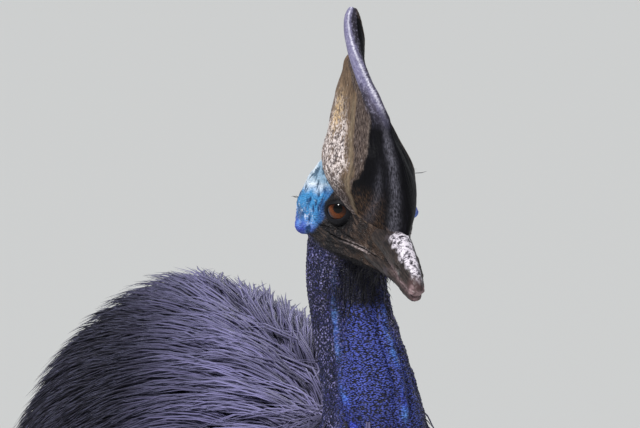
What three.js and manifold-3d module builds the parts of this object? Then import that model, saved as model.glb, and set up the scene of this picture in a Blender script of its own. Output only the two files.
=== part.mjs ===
// A southern cassowary, life size, standing with its neck in a low S and its bill a little down.
// Millimetres, +Z up. The bird faces -Y and its left side is +X.
import * as THREE from "three";
import { mergeVertices } from "three/addons/utils/BufferGeometryUtils.js";
import Module from "manifold-3d";

const wasm = await Module();
wasm.setup();

// Driving sizes.
const gap = 0.4; // clear space between two nodes that touch
const eyeHeight = 1128; // from the floor to the middle between the eyes
const headPlace = [-15, -385, eyeHeight];
const headTurn = { pitch: 14, roll: -6.4, yaw: -1.1 }; // degrees: bill down, left side up, to the right
const coreDepth = 11; // from the skin to the dense part of the plumage
const coatDepth = 27; // from the skin to the tips of the plumage
const legSpread = 84; // from the midline to each leg
const legBack = 64; // how far behind the origin each foot's middle stands
const floorReach = 900; // half the side of the block that flattens the soles
const floorDepth = 200;

const forward = new THREE.Vector3(0, -1, 0);
const upward = new THREE.Vector3(0, 0, 1);
const degrees = Math.PI / 180;
const random = THREE.MathUtils.seededRandom;
const sides = [
  { name: "right", side: -1 },
  { name: "left", side: 1 },
];

const materials = {
  plumage: new THREE.MeshStandardMaterial({ color: 0x17151d, roughness: 0.62 }),
  neckSkin: new THREE.MeshStandardMaterial({ color: 0x1f2a86, roughness: 0.6 }),
  headSkin: new THREE.MeshStandardMaterial({ color: 0x3f86b4, roughness: 0.6 }),
  casqueHorn: new THREE.MeshStandardMaterial({ color: 0x3a342f, roughness: 0.5 }),
  billHorn: new THREE.MeshStandardMaterial({ color: 0x2e2826, roughness: 0.45 }),
  eye: new THREE.MeshStandardMaterial({ color: 0x6b2c0c, roughness: 0.08 }),
  wattle: new THREE.MeshStandardMaterial({ color: 0xb3262a, roughness: 0.5 }),
  legScale: new THREE.MeshStandardMaterial({ color: 0x6d6a58, roughness: 0.6 }),
  claw: new THREE.MeshStandardMaterial({ color: 0x241f1c, roughness: 0.35 }),
  quill: new THREE.MeshStandardMaterial({ color: 0x0f0e10, roughness: 0.3 }),
};

// A body shape along a bent spine. Each station has its place, its half width, and how far it reaches
// to its top and its bottom. The way "top" says which side of the spine is the top. Its sections stand
// square to the spine, or to the way "level" where that is given.
class Form {
  constructor(stations, top, { sharp = 2, blunt = 2, bumps = [], folds, level } = {}) {
    const places = stations.map((s) => new THREE.Vector3(...s.at));
    const sizes = stations.map((s) => new THREE.Vector3(s.half, s.top, s.bottom));
    const leans = stations.map((s) => new THREE.Vector3(s.turn ?? 0, s.sharp ?? sharp, 0));
    this.spine = new THREE.CatmullRomCurve3(places, false, "catmullrom", 0.5);
    this.sizes = new THREE.CatmullRomCurve3(sizes, false, "catmullrom", 0.5);
    this.leans = new THREE.CatmullRomCurve3(leans, false, "catmullrom", 0.5);
    this.top = top;
    this.blunt = blunt;
    this.bumps = bumps.map((b) => ({ ...b, at: new THREE.Vector3(...b.at) }));
    this.folds = folds;
    this.level = level;
  }

  axes(t) {
    const step = 0.002;
    const before = this.spine.getPoint(Math.max(0, t - step));
    const onward = this.spine.getPoint(Math.min(1, t + step)).sub(before).normalize();
    const along = this.level ? this.level.clone() : onward;
    const up = this.top.clone().addScaledVector(along, -this.top.dot(along)).normalize();
    up.applyAxisAngle(along, this.leans.getPoint(t).x * degrees);
    return { along, up, side: along.clone().cross(up) };
  }

  // The surface at t along the spine and at an angle from the top, with a coat over it.
  point(t, angle, coat = 0) {
    const { up, side } = this.axes(t);
    const centre = this.spine.getPoint(t);
    const size = this.sizes.getPoint(t);
    const c = Math.cos(angle);
    const s = Math.sin(angle);
    const power = 2 / (c > 0 ? this.leans.getPoint(t).y : this.blunt);
    const rise = Math.sign(c) * Math.abs(c) ** power * ((c > 0 ? size.y : size.z) + coat);
    const out = Math.sign(s) * Math.abs(s) ** power * (size.x + coat);
    const place = centre.clone().addScaledVector(up, rise).addScaledVector(side, out);
    const outward = place.clone().sub(centre).normalize();
    for (const bump of this.bumps) {
      const share = place.distanceTo(bump.at) / bump.reach;
      place.addScaledVector(outward, bump.rise * Math.exp(-share * share));
    }
    if (this.folds) place.addScaledVector(outward, this.folds(t, angle));
    return place;
  }

  // The surface's own ways at a place: on along the spine, down from the top, and out.
  ways(t, angle, coat) {
    const step = 0.004;
    const here = this.point(t, angle, coat);
    const on = this.point(t + step, angle, coat).sub(here).divideScalar(step);
    const down = this.point(t, angle + step, coat).sub(here).divideScalar(step);
    return { here, on, down, out: down.clone().cross(on).normalize() };
  }

  // One closed mesh. Its rings are evenly spaced between two places on the spine, or are given with
  // the lift that each has on its top side. Clear moves each point out along its normal, for a cutter.
  geometry({ rings = 0, sides: around, coat = 0, clear = 0, from = 0, to = 1, given }) {
    const even = Array.from({ length: rings + 1 }, (_, i) => ({ t: from + ((to - from) * i) / rings }));
    const stops = given ?? even;
    const loops = stops.map(({ t, lift = 0 }) => {
      const loop = [];
      for (let j = 0; j < around; j++) {
        const angle = (2 * Math.PI * j) / around;
        const raised = lift * Math.max(0, Math.cos(angle)) ** 0.3;
        loop.push(this.point(t, angle, coat + raised));
      }
      return loop;
    });
    const ends = [stops[0].t, stops[stops.length - 1].t];
    const first = this.spine.getPoint(ends[0]).addScaledVector(this.axes(ends[0]).along, -coat);
    const last = this.spine.getPoint(ends[1]).addScaledVector(this.axes(ends[1]).along, coat);
    return swell(loft(loops, first, last), clear);
  }
}

// Closes a stack of loops with a point at each end. The loops run so that the faces point out.
function loft(loops, first, last) {
  const around = loops[0].length;
  const places = [...loops.flat(), first, last];
  const faces = [];
  for (let j = 0; j < around; j++) {
    const k = (j + 1) % around;
    const end = (loops.length - 1) * around;
    faces.push(loops.length * around, k, j);
    faces.push(loops.length * around + 1, end + j, end + k);
    for (let i = 0; i < loops.length - 1; i++) {
      const a = i * around;
      const b = a + around;
      faces.push(a + j, a + k, b + k, a + j, b + k, b + j);
    }
  }
  const made = new THREE.BufferGeometry().setFromPoints(places);
  made.setIndex(faces);
  return made;
}

// The same mesh with its shared points merged, so that it's closed.
function closed(geometry) {
  const bare = geometry.clone();
  bare.deleteAttribute("normal");
  bare.deleteAttribute("uv");
  return mergeVertices(bare, 1e-3);
}

// Moves each point of a mesh out along its normal.
function swell(geometry, distance) {
  const made = closed(geometry);
  made.computeVertexNormals();
  const { position, normal } = made.attributes;
  for (let i = 0; i < position.count; i++) {
    const place = new THREE.Vector3().fromBufferAttribute(position, i);
    place.addScaledVector(new THREE.Vector3().fromBufferAttribute(normal, i), distance);
    position.setXYZ(i, ...place.toArray());
  }
  return made;
}

function solid(geometry) {
  const merged = closed(geometry);
  const vertProperties = new Float32Array(merged.attributes.position.array);
  const triVerts = new Uint32Array(merged.index.array);
  return new wasm.Manifold(new wasm.Mesh({ numProp: 3, vertProperties, triVerts }));
}

const join = (solids) => solids.reduce((all, one) => all.add(one));
const cut = (from, ...tools) => tools.reduce((left, tool) => left.subtract(tool), from);

// The largest closed piece of a solid, as a named mesh.
function node(name, made, material) {
  const pieces = made.decompose().filter((piece) => piece.volume() > 0);
  const largest = pieces.reduce((a, b) => (b.volume() > a.volume() ? b : a));
  const { vertProperties, triVerts } = largest.getMesh();
  const geometry = new THREE.BufferGeometry();
  geometry.setAttribute("position", new THREE.BufferAttribute(vertProperties, 3));
  geometry.setIndex(new THREE.BufferAttribute(triVerts, 1));
  geometry.computeVertexNormals();
  const mesh = new THREE.Mesh(geometry, material);
  mesh.name = name;
  return mesh;
}

// A tube of round sections through given places, such as a quill, a fold or a lip.
const rodTop = new THREE.Vector3(0.2, 0.1, 1).normalize();
function rod(places, radii, { rings, sides: around, clear = 0 }) {
  const stations = places.map((place, i) => {
    const r = radii[i];
    return { at: place.toArray(), half: r, top: r, bottom: r };
  });
  const tube = new Form(stations, rodTop);
  return solid(tube.geometry({ rings, sides: around, clear }));
}

// Locks of plumage. Each is flat and tapered, starts inside the core, and follows the lie over its form,
// further out towards its tip. It has a low ridge along it, and is rolled to lie over its neighbour.
const lockSteps = 3;
const lockWidths = [0.6, 1, 0.8];
const lockRises = [0, 0.66, 0.9];
const lockRoll = 0.06;
const lockCurl = 0.03;
const lockVary = {
  along: 0.012,
  round: 0.05,
  length: 0.12,
  width: 0.1,
  rise: 2,
  heading: 0.09,
  bend: 0.04,
  curl: 0.05,
};
function lockSolid(form, lock, clear = 0) {
  const step = lock.length / lockSteps;
  const heights = lockRises.map((share) => THREE.MathUtils.lerp(lock.low, lock.high, share));
  let { t, angle } = lock;
  const centres = [];
  const outs = [];
  for (const height of heights) {
    const inside = lock.way > 0 ? Math.min(t, lock.limit) : Math.max(t, lock.limit);
    const { here, on, down, out } = form.ways(inside, angle, height);
    if (inside !== t) {
      const last = centres[centres.length - 1];
      const onward = last.clone().sub(centres[centres.length - 2] ?? last.clone().sub(on));
      onward.normalize().addScaledVector(upward, -lock.droop).normalize();
      here.copy(last).addScaledVector(onward, step);
    }
    centres.push(here);
    outs.push(out);
    const heading = lock.heading + lock.bend * centres.length;
    t += (lock.way * step * Math.cos(heading)) / on.length();
    angle += (step * Math.sin(heading)) / down.length();
  }
  const [before, end] = centres.slice(-2);
  const tip = end.clone().sub(before).normalize();
  tip.addScaledVector(outs[lockSteps - 1], lock.curl);
  tip.addScaledVector(upward, -lock.droop * 0.5).normalize();
  const last = end.clone().addScaledVector(tip, step + 8 * clear);
  const loops = centres.map((centre, i) => {
    const along = (centres[i + 1] ?? last).clone().sub(centres[i - 1] ?? centre).normalize();
    const up = outs[i].clone().addScaledVector(along, -outs[i].dot(along)).normalize();
    up.applyAxisAngle(along, lock.roll);
    const side = along.clone().cross(up);
    const half = (lock.width / 2) * lockWidths[i] + clear;
    const corner = (out, rise) => centre.clone().addScaledVector(side, out).addScaledVector(up, rise);
    if (clear === 0) return [corner(0, lock.thick), corner(half, 0), corner(-half, 0)];
    const over = 1.2 * clear;
    const above = [corner(0, lock.thick + over), corner(half, over)];
    return [...above, corner(half, -over), corner(-half, -over), corner(-half, over)];
  });
  return solid(loft(loops, centres[0], last));
}

// Rows of locks round a form. Each row is set between the locks of the row before it.
const probeCount = 24;
function lockRows(form, settings) {
  const { seed, rows, from, to, low, high, length, width, thick, spacing, way = 1 } = settings;
  const { fall, limit = 0.96, droop = 0.25, skip = () => false } = settings;
  random(seed);
  const vary = (amount) => (random() - 0.5) * 2 * amount;
  const locks = [];
  for (let i = 0; i < rows; i++) {
    const t = from + ((to - from) * i) / Math.max(1, rows - 1);
    const step = (2 * Math.PI) / probeCount;
    let girth = 0;
    for (let k = 0; k < probeCount; k++) {
      girth += form.point(t, k * step, high).distanceTo(form.point(t, (k + 1) * step, high));
    }
    const count = Math.max(3, Math.round(girth / spacing));
    for (let j = 0; j < count; j++) {
      const place = (j + 0.25 + 0.5 * (i % 2)) / count;
      const angle = -Math.PI + 2 * Math.PI * place + vary(lockVary.round);
      const sideways = Math.sin(angle);
      const lock = {
        t: t + vary(lockVary.along),
        angle,
        length: length * (1 + vary(lockVary.length)),
        width: width * (1 + vary(lockVary.width)),
        thick,
        low,
        high: high + vary(lockVary.rise),
        heading: fall * sideways + vary(lockVary.heading),
        bend: vary(lockVary.bend),
        roll: (sideways >= 0 ? 1 : -1) * lockRoll,
        curl: lockCurl + vary(lockVary.curl),
        droop,
        limit,
        way,
      };
      if (!skip(form.point(t, angle, high))) locks.push(lock);
    }
  }
  return locks;
}

// True where a place is near the spine of a form, by the form's own reach and a margin.
const nearSteps = 16;
function isNear(form, place, margin) {
  for (let i = 0; i <= nearSteps; i++) {
    const t = i / nearSteps;
    const size = form.sizes.getPoint(t);
    const reach = Math.max(size.x, size.y, size.z) + margin;
    if (form.spine.getPoint(t).distanceTo(place) < reach) return true;
  }
  return false;
}

// Places a solid of the head's own frame in the bird's frame.
const headAngles = new THREE.Euler(
  headTurn.pitch * degrees,
  headTurn.roll * degrees,
  headTurn.yaw * degrees,
  "ZXY",
);
function fromHead(made) {
  const matrix = new THREE.Matrix4().makeRotationFromEuler(headAngles).setPosition(...headPlace);
  return made.transform(matrix.elements);
}

// Head, in its own frame: the origin is the middle between the eyes, and the bill points to -Y.
const eyeRadius = 13;
const eyeAt = [21.6, 2.5, -4.2]; // the middle of the left eyeball
const eyeFacing = [0.75, -0.64, 0.12]; // the way that the left eye looks
const lidRadius = 10.2;
const lidThick = 2.8;
const lidLift = 9.6; // from the eyeball's middle to the lids' ring
const openingFrom = 3; // from the eyeball's middle to where the opening in the head starts
const openingDepth = 30;
const ear = { at: [45, 44, -16], radius: 3.4 };
const nostril = { at: [8.6, -93, -26], lean: -1.3, size: [2.4, 5.5, 1.7], tilt: 0.3 };

const headForm = new Form(
  [
    { at: [0, -66, -22], half: 7, top: 9, bottom: 12 },
    { at: [0, -46, -21], half: 14, top: 20, bottom: 24 },
    { at: [0, -22, -21], half: 24, top: 33, bottom: 31 },
    { at: [0, 0, -21], half: 33, top: 44, bottom: 34 },
    { at: [0, 18, -22], half: 41, top: 52, bottom: 34 },
    { at: [0, 36, -23], half: 46.5, top: 58, bottom: 32 },
    { at: [0, 52, -22], half: 41, top: 51, bottom: 30 },
    { at: [0, 67, -19], half: 20, top: 28, bottom: 20 },
  ],
  upward,
  {
    bumps: sides.flatMap(({ side }) => [
      { at: [side * 49, 35, -33], reach: 10, rise: 6 },
      { at: [side * 26, 4, 13], reach: 12, rise: 7 },
    ]),
  },
);
const casqueForm = new Form(
  [
    { at: [2, -22, -15], half: 11, top: 46, bottom: 20, turn: 3, sharp: 1.5 },
    { at: [1, -14, -4], half: 20, top: 57, bottom: 36, turn: 5, sharp: 1.45 },
    { at: [0, -4, 12], half: 29, top: 68, bottom: 50, turn: 6, sharp: 1.5 },
    { at: [-2.5, -4, 30], half: 31.5, top: 66, bottom: 58, turn: 6, sharp: 1.6 },
    { at: [-3.7, -8, 50], half: 24, top: 57, bottom: 60, turn: 6 },
    { at: [-4.4, -3, 66], half: 16.6, top: 51, bottom: 51, turn: 6 },
    { at: [-6.4, 2, 84], half: 10.5, top: 43, bottom: 38, turn: 6 },
    { at: [-6.2, 6, 101], half: 6.2, top: 33, bottom: 27, turn: 4 },
    { at: [-5.8, 9, 112], half: 5, top: 25, bottom: 22, turn: 1 },
    { at: [-4.5, 9, 122], half: 4.6, top: 17, bottom: 18, turn: -20 },
    { at: [-4.6, 13, 137], half: 4, top: 11, bottom: 10.5, turn: -44 },
    { at: [-4, 18, 149], half: 3.4, top: 6, bottom: 5.5, turn: -55 },
    { at: [-4.4, 21, 156.5], half: 2.2, top: 3, bottom: 2.8, turn: -55 },
  ],
  forward,
  { sharp: 1.7, blunt: 1.85, level: upward },
);
// The thick leading edge of the casque, down from its tip.
const rimForm = new Form(
  [
    { at: [-4.8, 21, 157], half: 2, top: 2, bottom: 3 },
    { at: [-9.3, 16, 150], half: 3.6, top: 3, bottom: 5 },
    { at: [-11.4, 9, 140], half: 4.2, top: 3.5, bottom: 7 },
    { at: [-11.3, 0, 129], half: 4.8, top: 4, bottom: 8 },
    { at: [-10.2, -9, 118], half: 5.4, top: 4, bottom: 9 },
    { at: [-8.5, -19, 106], half: 6, top: 4, bottom: 10 },
    { at: [-5.3, -30, 93], half: 6.4, top: 4, bottom: 10 },
    { at: [-1.8, -42, 77], half: 6, top: 3.5, bottom: 10 },
    { at: [0, -52, 60], half: 3, top: 1.5, bottom: 6 },
  ],
  forward,
);
// The casque's lower edge, from the back of the head, over the brow, to the root of the bill.
const casqueEdge = [
  [70, 29],
  [50, 23],
  [30, 20],
  [5, 12],
  [-15, 3],
  [-45, -8],
  [-80, -19],
];
const upperBillForm = new Form(
  [
    { at: [0, -42, -14], half: 15, top: 12, bottom: 7.5 },
    { at: [0, -66, -20], half: 12, top: 16, bottom: 9 },
    { at: [-1, -88, -26], half: 9.5, top: 12.5, bottom: 8.5 },
    { at: [-2.4, -103, -30], half: 7.8, top: 9.5, bottom: 7.5 },
    { at: [-3.4, -113, -32.5], half: 5.5, top: 6, bottom: 6 },
    { at: [-3.8, -118, -34], half: 2.5, top: 2.5, bottom: 3 },
  ],
  upward,
  { sharp: 1.8 },
);
const lowerBillForm = new Form(
  [
    { at: [0, -34, -30], half: 19, top: 6, bottom: 12 },
    { at: [0, -55, -33], half: 15, top: 6.5, bottom: 11 },
    { at: [-0.6, -80, -36.5], half: 10, top: 5, bottom: 7 },
    { at: [-2, -98, -40], half: 7.5, top: 4, bottom: 5 },
    { at: [-3.2, -109, -41.5], half: 5.2, top: 3, bottom: 3.5 },
    { at: [-3.6, -114, -41.5], half: 2.5, top: 1.5, bottom: 1.5 },
  ],
  upward,
);
// The line of the mouth across the head's side, from its corner to the bill.
const mouthLine = [
  [6, -18],
  [-6, -24],
  [-22, -24.5],
  [-39, -24],
  [-53, -27],
  [-72, -32],
];
const slitHalf = 0.6;
const bandWidth = 140; // wider than the head
const casqueSink = 60; // how far below its edge the casque is cut away

// A band right through the head from side to side, between two lines given by y and z.
function throughHead(above, below) {
  const outline = [...above, ...below.toReversed()].map(([y, z]) => new THREE.Vector2(y, z));
  const shape = new THREE.Shape(outline);
  const band = new THREE.ExtrudeGeometry(shape, { depth: bandWidth, bevelEnabled: false });
  // The outline's x and y become the head's y and z.
  const turn = new THREE.Matrix4().set(0, 0, 1, -bandWidth / 2, 1, 0, 0, 0, 0, 1, 0, 0, 0, 0, 0, 1);
  return solid(band.applyMatrix4(turn));
}
const shifted = (line, dz) => line.map(([y, z]) => [y, z + dz]);
const mouthSlit = () => throughHead(shifted(mouthLine, slitHalf), shifted(mouthLine, -slitHalf));
const belowCasque = () => throughHead(casqueEdge, shifted(casqueEdge, -casqueSink));

// Lips: one low ridge above the mouth's line and one below it, on each side. Each starts at an angle
// from the top of the head and turns up a little from one place to the next.
const lipRidges = [
  { angle: 91, thick: 2.2 },
  { angle: 106, thick: 2 },
];
const lipPlaces = [0.2, 0.32, 0.44, 0.56];
const lipTurn = 2;
const lipSink = 0.8;
function lipSolids(clear) {
  const lips = [];
  for (const { side } of sides) {
    for (const { angle, thick } of lipRidges) {
      const turned = (i) => side * (angle - lipTurn * i) * degrees;
      const places = lipPlaces.map((t, i) => headForm.point(t, turned(i), -lipSink));
      lips.push(rod(places, [thick, thick, thick, thick * 0.4], { rings: 4, sides: 5, clear }));
    }
  }
  return lips;
}

function headSolids() {
  const turned = sides.map(({ side }) => {
    const facing = new THREE.Vector3(side * eyeFacing[0], eyeFacing[1], eyeFacing[2]).normalize();
    return { at: new THREE.Vector3(side * eyeAt[0], eyeAt[1], eyeAt[2]), facing };
  });
  // Turns a shape that looks up to the way the eye looks, and moves it out from the eyeball's middle.
  const face = (geometry, { at, facing }, out) => {
    const turn = new THREE.Quaternion().setFromUnitVectors(upward, facing);
    const place = at.clone().addScaledVector(facing, out);
    return geometry.applyQuaternion(turn).translate(...place.toArray());
  };
  const balls = (clear) =>
    turned.map((eye) => {
      const ball = new THREE.SphereGeometry(eyeRadius, 12, 8);
      return solid(swell(face(ball, eye, 0), clear));
    });
  const lids = (clear) =>
    turned.map((eye) => {
      const ring = new THREE.TorusGeometry(lidRadius, lidThick, 5, 14);
      return solid(swell(face(ring, eye, lidLift), clear));
    });
  const openings = turned.map((eye) => {
    const bore = new THREE.CylinderGeometry(lidRadius - 1, lidRadius - 1, openingDepth, 14);
    return solid(face(bore.rotateX(Math.PI / 2), eye, openingDepth / 2 + openingFrom));
  });
  const skin = (clear) =>
    join([solid(headForm.geometry({ rings: 12, sides: 16, clear })), ...lids(clear), ...lipSolids(clear)]);
  const horn = (clear) => {
    const rim = solid(rimForm.geometry({ rings: 9, sides: 6, clear }));
    return solid(casqueForm.geometry({ rings: 14, sides: 14, clear })).add(rim);
  };
  const nostrils = sides.map(({ side }) => {
    const hole = new THREE.SphereGeometry(1, 8, 6).scale(...nostril.size).rotateX(nostril.tilt);
    return solid(hole.translate(side * nostril.at[0] + nostril.lean, nostril.at[1], nostril.at[2]));
  });
  const ears = sides.map(({ side }) => {
    const hole = new THREE.SphereGeometry(ear.radius, 8, 6);
    return solid(hole.translate(side * ear.at[0], ear.at[1], ear.at[2]));
  });
  const upper = (clear) => solid(upperBillForm.geometry({ rings: 7, sides: 10, clear }));
  const lower = (clear) => solid(lowerBillForm.geometry({ rings: 6, sides: 10, clear }));
  return {
    head: cut(skin(0), ...balls(gap), ...openings, ...ears, mouthSlit(), upper(gap), lower(gap)),
    casque: cut(horn(0), belowCasque(), skin(gap), ...balls(gap), ...openings, upper(gap)),
    upperBill: cut(upper(0), ...nostrils),
    lowerBill: cut(lower(0), upper(gap)),
    balls: balls(0),
    tool: skin(gap),
  };
}

// Neck, from the body up. Feathers end at the top of its lower part.
const neckForm = new Form(
  [
    { at: [0, -235, 822], half: 62, top: 78, bottom: 80 },
    { at: [0, -292, 858], half: 62, top: 68, bottom: 72 },
    { at: [-2, -345, 900], half: 52, top: 56, bottom: 56 },
    { at: [-5, -367, 944], half: 41.5, top: 43, bottom: 43 },
    { at: [-9, -356, 988], half: 35, top: 38, bottom: 36 },
    { at: [-13, -338, 1030], half: 31.5, top: 34, bottom: 32 },
    { at: [-16.5, -334, 1064], half: 31, top: 33, bottom: 31 },
    { at: [-17, -340, 1100], half: 31, top: 30, bottom: 30 },
  ],
  forward,
);
const neckParts = {
  lower: { from: 0, to: 0.38, rings: 5 },
  middle: { from: 0.38, to: 0.66, rings: 5 },
  upper: { from: 0.66, to: 1, rings: 6 },
};
const neckSolid = (part, clear = 0) => solid(neckForm.geometry({ ...neckParts[part], sides: 16, clear }));

// Long folds of loose skin down the front and sides of the bare neck, by angle from the front.
const neckFolds = [
  { start: 0.9, end: 0.66, angles: [-62, -48], thick: 3.4 },
  { start: 0.86, end: 0.66, angles: [6, 16], thick: 3 },
  { start: 0.88, end: 0.66, angles: [40, 52], thick: 2.8 },
  { start: 0.66, end: 0.42, angles: [-46, -22], thick: 3.6 },
  { start: 0.66, end: 0.42, angles: [17, 8], thick: 3.2 },
  { start: 0.66, end: 0.42, angles: [54, 62], thick: 3 },
];
function foldSolids(inUpper, clear) {
  return neckFolds
    .filter((fold) => fold.start > 0.7 === inUpper)
    .map(({ start, end, angles, thick }) => {
      const places = [0, 0.33, 0.67, 1].map((share) => {
        const t = THREE.MathUtils.lerp(start - 0.02, end + 0.02, share);
        const angle = THREE.MathUtils.lerp(...angles, share) * degrees;
        return neckForm.point(t, angle, 0.2);
      });
      return rod(places, [thick * 0.4, thick, thick, thick * 0.5], { rings: 6, sides: 5, clear });
    });
}
const ruffLocks = lockRows(neckForm, {
  seed: 11,
  rows: 2,
  from: 0.32,
  to: 0.18,
  low: -4,
  high: 12,
  length: 96,
  width: 54,
  thick: 4,
  spacing: 54,
  way: -1,
  limit: 0.02,
  fall: 0.05,
});
function neckLowerSolid(clear) {
  const locks = ruffLocks.map((lock) => lockSolid(neckForm, lock, clear));
  return join([neckSolid("lower", clear), ...locks]);
}

const legX = (side) => side * legSpread;
const thighForm = (side) =>
  new Form(
    [
      { at: [side * 62, legBack - 80, 740], half: 40, top: 66, bottom: 70 },
      { at: [side * 76, legBack - 84, 665], half: 51, top: 76, bottom: 80 },
      { at: [legX(side), legBack - 62, 585], half: 48, top: 60, bottom: 62 },
      { at: [legX(side), legBack - 16, 500], half: 34, top: 40, bottom: 40 },
      { at: [legX(side), legBack + 26, 430], half: 23, top: 26, bottom: 27 },
      { at: [legX(side), legBack + 44, 390], half: 21, top: 22, bottom: 23 },
    ],
    forward,
  );

// The body bends down behind, where its plumage hangs.
const trunkForm = new Form(
  [
    { at: [0, -318, 837], half: 40, top: 42, bottom: 52 },
    { at: [0, -262, 835], half: 88, top: 94, bottom: 118 },
    { at: [0, -180, 833], half: 117, top: 135, bottom: 154 },
    { at: [0, -85, 831], half: 131, top: 162, bottom: 169 },
    { at: [0, 15, 827], half: 135, top: 176, bottom: 170 },
    { at: [0, 110, 817], half: 131, top: 176, bottom: 162 },
    { at: [0, 200, 793], half: 118, top: 154, bottom: 145 },
    { at: [0, 278, 747], half: 98, top: 118, bottom: 108 },
    { at: [0, 322, 689], half: 76, top: 76, bottom: 72 },
    { at: [0, 338, 637], half: 34, top: 30, bottom: 32 },
  ],
  upward,
  { sharp: 1.65 },
);
const trunkLocks = lockRows(trunkForm, {
  seed: 5,
  rows: 7,
  from: 0.08,
  to: 0.88,
  low: -3,
  high: coatDepth - 3,
  length: 174,
  width: 75,
  thick: 4,
  spacing: 86,
  fall: 0.3,
  skip: (place) =>
    isNear(neckForm, place, 4) || sides.some(({ side }) => isNear(thighForm(side), place, -12)),
});
function trunkSolid(clear) {
  const core = solid(trunkForm.geometry({ rings: 10, sides: 14, coat: coreDepth, clear }));
  return join([core, ...trunkLocks.map((lock) => lockSolid(trunkForm, lock, clear))]);
}

// A small wing, folded to the flank, with the bare quills that curve down from it.
// Their places are given by share of the trunk's spine, angle from its top, and distance out from it.
const quillCount = 5;
const quillRadii = [3.2, 2.8, 2, 0.8];
const armRadii = [9, 17, 15, 7];
const armLine = [
  [0.2, 74, 12],
  [0.26, 80, coatDepth],
  [0.34, 90, coatDepth + 5],
  [0.4, 97, coatDepth + 3],
];
const quillLine = (share) => [
  [0.36 - 0.02 * share, 92 + 3 * share, coatDepth + 3],
  [0.44 - 0.01 * share, 98 + 8 * share, coatDepth + 12 + 2 * share],
  [0.53 - 0.04 * share, 106 + 11 * share, coatDepth + 13 + 3 * share],
  [0.61 - 0.07 * share, 113 + 14 * share, coatDepth + 9 + 4 * share],
];
function wingSolid(side, clear = 0) {
  const placed = (line) => line.map(([t, angle, out]) => trunkForm.point(t, side * angle * degrees, out));
  const pieces = [rod(placed(armLine), armRadii, { rings: 5, sides: 7, clear })];
  for (let i = 0; i < quillCount; i++) {
    const line = quillLine(i / (quillCount - 1));
    pieces.push(rod(placed(line), quillRadii, { rings: 5, sides: 4, clear }));
  }
  return join(pieces);
}

const thighCoat = { core: 3, tips: 11 };
const thighLocks = sides.map(({ side }, i) =>
  lockRows(thighForm(side), {
    seed: 41 + i,
    rows: 3,
    from: 0.3,
    to: 0.68,
    low: -7,
    high: thighCoat.tips,
    length: 106,
    width: 66,
    thick: 4,
    spacing: 84,
    fall: 0,
    droop: 0.1,
    limit: 0.93,
  }),
);
const shankForm = (side) =>
  new Form(
    [
      { at: [legX(side), legBack + 38, 400], half: 20, top: 21, bottom: 22 },
      { at: [legX(side), legBack + 50, 372], half: 24, top: 25, bottom: 27 },
      { at: [legX(side), legBack + 54, 344], half: 26, top: 26, bottom: 29 },
      { at: [legX(side), legBack + 46, 304], half: 20, top: 21, bottom: 24 },
      { at: [legX(side), legBack + 33, 220], half: 17.5, top: 19, bottom: 20 },
      { at: [legX(side), legBack + 19, 130], half: 18, top: 20, bottom: 20 },
      { at: [legX(side), legBack + 8, 70], half: 22, top: 24, bottom: 24 },
      { at: [legX(side), legBack + 2, 36], half: 27, top: 27, bottom: 27 },
      { at: [legX(side), legBack, 12], half: 25, top: 25, bottom: 25 },
      { at: [legX(side), legBack, -4], half: 18, top: 18, bottom: 18 },
    ],
    forward,
  );

// Rings for a row of scutes that lie over one another: each plate starts flush and ends raised.
function scuteRings({ from, to, count, rise, before, after }) {
  const rings = before.map((t) => ({ t }));
  for (let i = 0; i < count; i++) {
    const start = from + ((to - from) * i) / count;
    const end = from + ((to - from) * (i + 1)) / count;
    rings.push({ t: start + (end - start) * 0.08 }, { t: end, lift: rise });
  }
  return [...rings, ...after.map((t) => ({ t }))];
}
const shankScutes = {
  from: 0.3,
  to: 0.92,
  count: 9,
  rise: 2,
  before: [0, 0.08, 0.16, 0.24],
  after: [0.97, 1],
};
const toeScutes = { from: 0.12, to: 0.96, rise: 1.6, before: [0], after: [1] };

// A toe runs out from the ball of the foot. Turn is outwards from straight ahead, in degrees.
const toes = [
  { name: "middle", turn: 4, length: 158, half: 16, height: 31, claw: 48, clawHalf: 8.5, scutes: 5 },
  { name: "inner", turn: -18, length: 92, half: 15, height: 30, claw: 100, clawHalf: 10, scutes: 3 },
  { name: "outer", turn: 36, length: 118, half: 14, height: 28, claw: 40, clawHalf: 7.5, scutes: 4 },
];
function toeForms(side, toe) {
  const root = new THREE.Vector3(legX(side), legBack, 0);
  const way = forward.clone().applyAxisAngle(upward, side * toe.turn * degrees);
  const along = (distance, height) => root.clone().addScaledVector(way, distance).setZ(height).toArray();
  const h = toe.height / 2;
  const w = toe.half;
  const body = new Form(
    [
      { at: along(4, h + 6), half: w, top: h, bottom: h + 4 },
      { at: along(toe.length * 0.3, h + 2), half: w, top: h, bottom: h + 4 },
      { at: along(toe.length * 0.6, h - 1), half: w * 0.92, top: h * 0.88, bottom: h },
      { at: along(toe.length * 0.86, h - 3), half: w * 0.9, top: h * 0.78, bottom: h * 0.9 },
      { at: along(toe.length, h - 4), half: w * 0.62, top: h * 0.55, bottom: h * 0.6 },
    ],
    upward,
  );
  const c = toe.clawHalf;
  const claw = new Form(
    [
      { at: along(toe.length - 14, h - 2), half: c, top: c, bottom: c * 0.9 },
      { at: along(toe.length + toe.claw * 0.3, h - 2.5), half: c * 0.85, top: c * 0.9, bottom: c * 0.7 },
      { at: along(toe.length + toe.claw * 0.7, h - 6), half: c * 0.5, top: c * 0.55, bottom: c * 0.4 },
      { at: along(toe.length + toe.claw, 3), half: 0.7, top: 0.8, bottom: 0.8 },
    ],
    upward,
  );
  return { body, claw };
}

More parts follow.
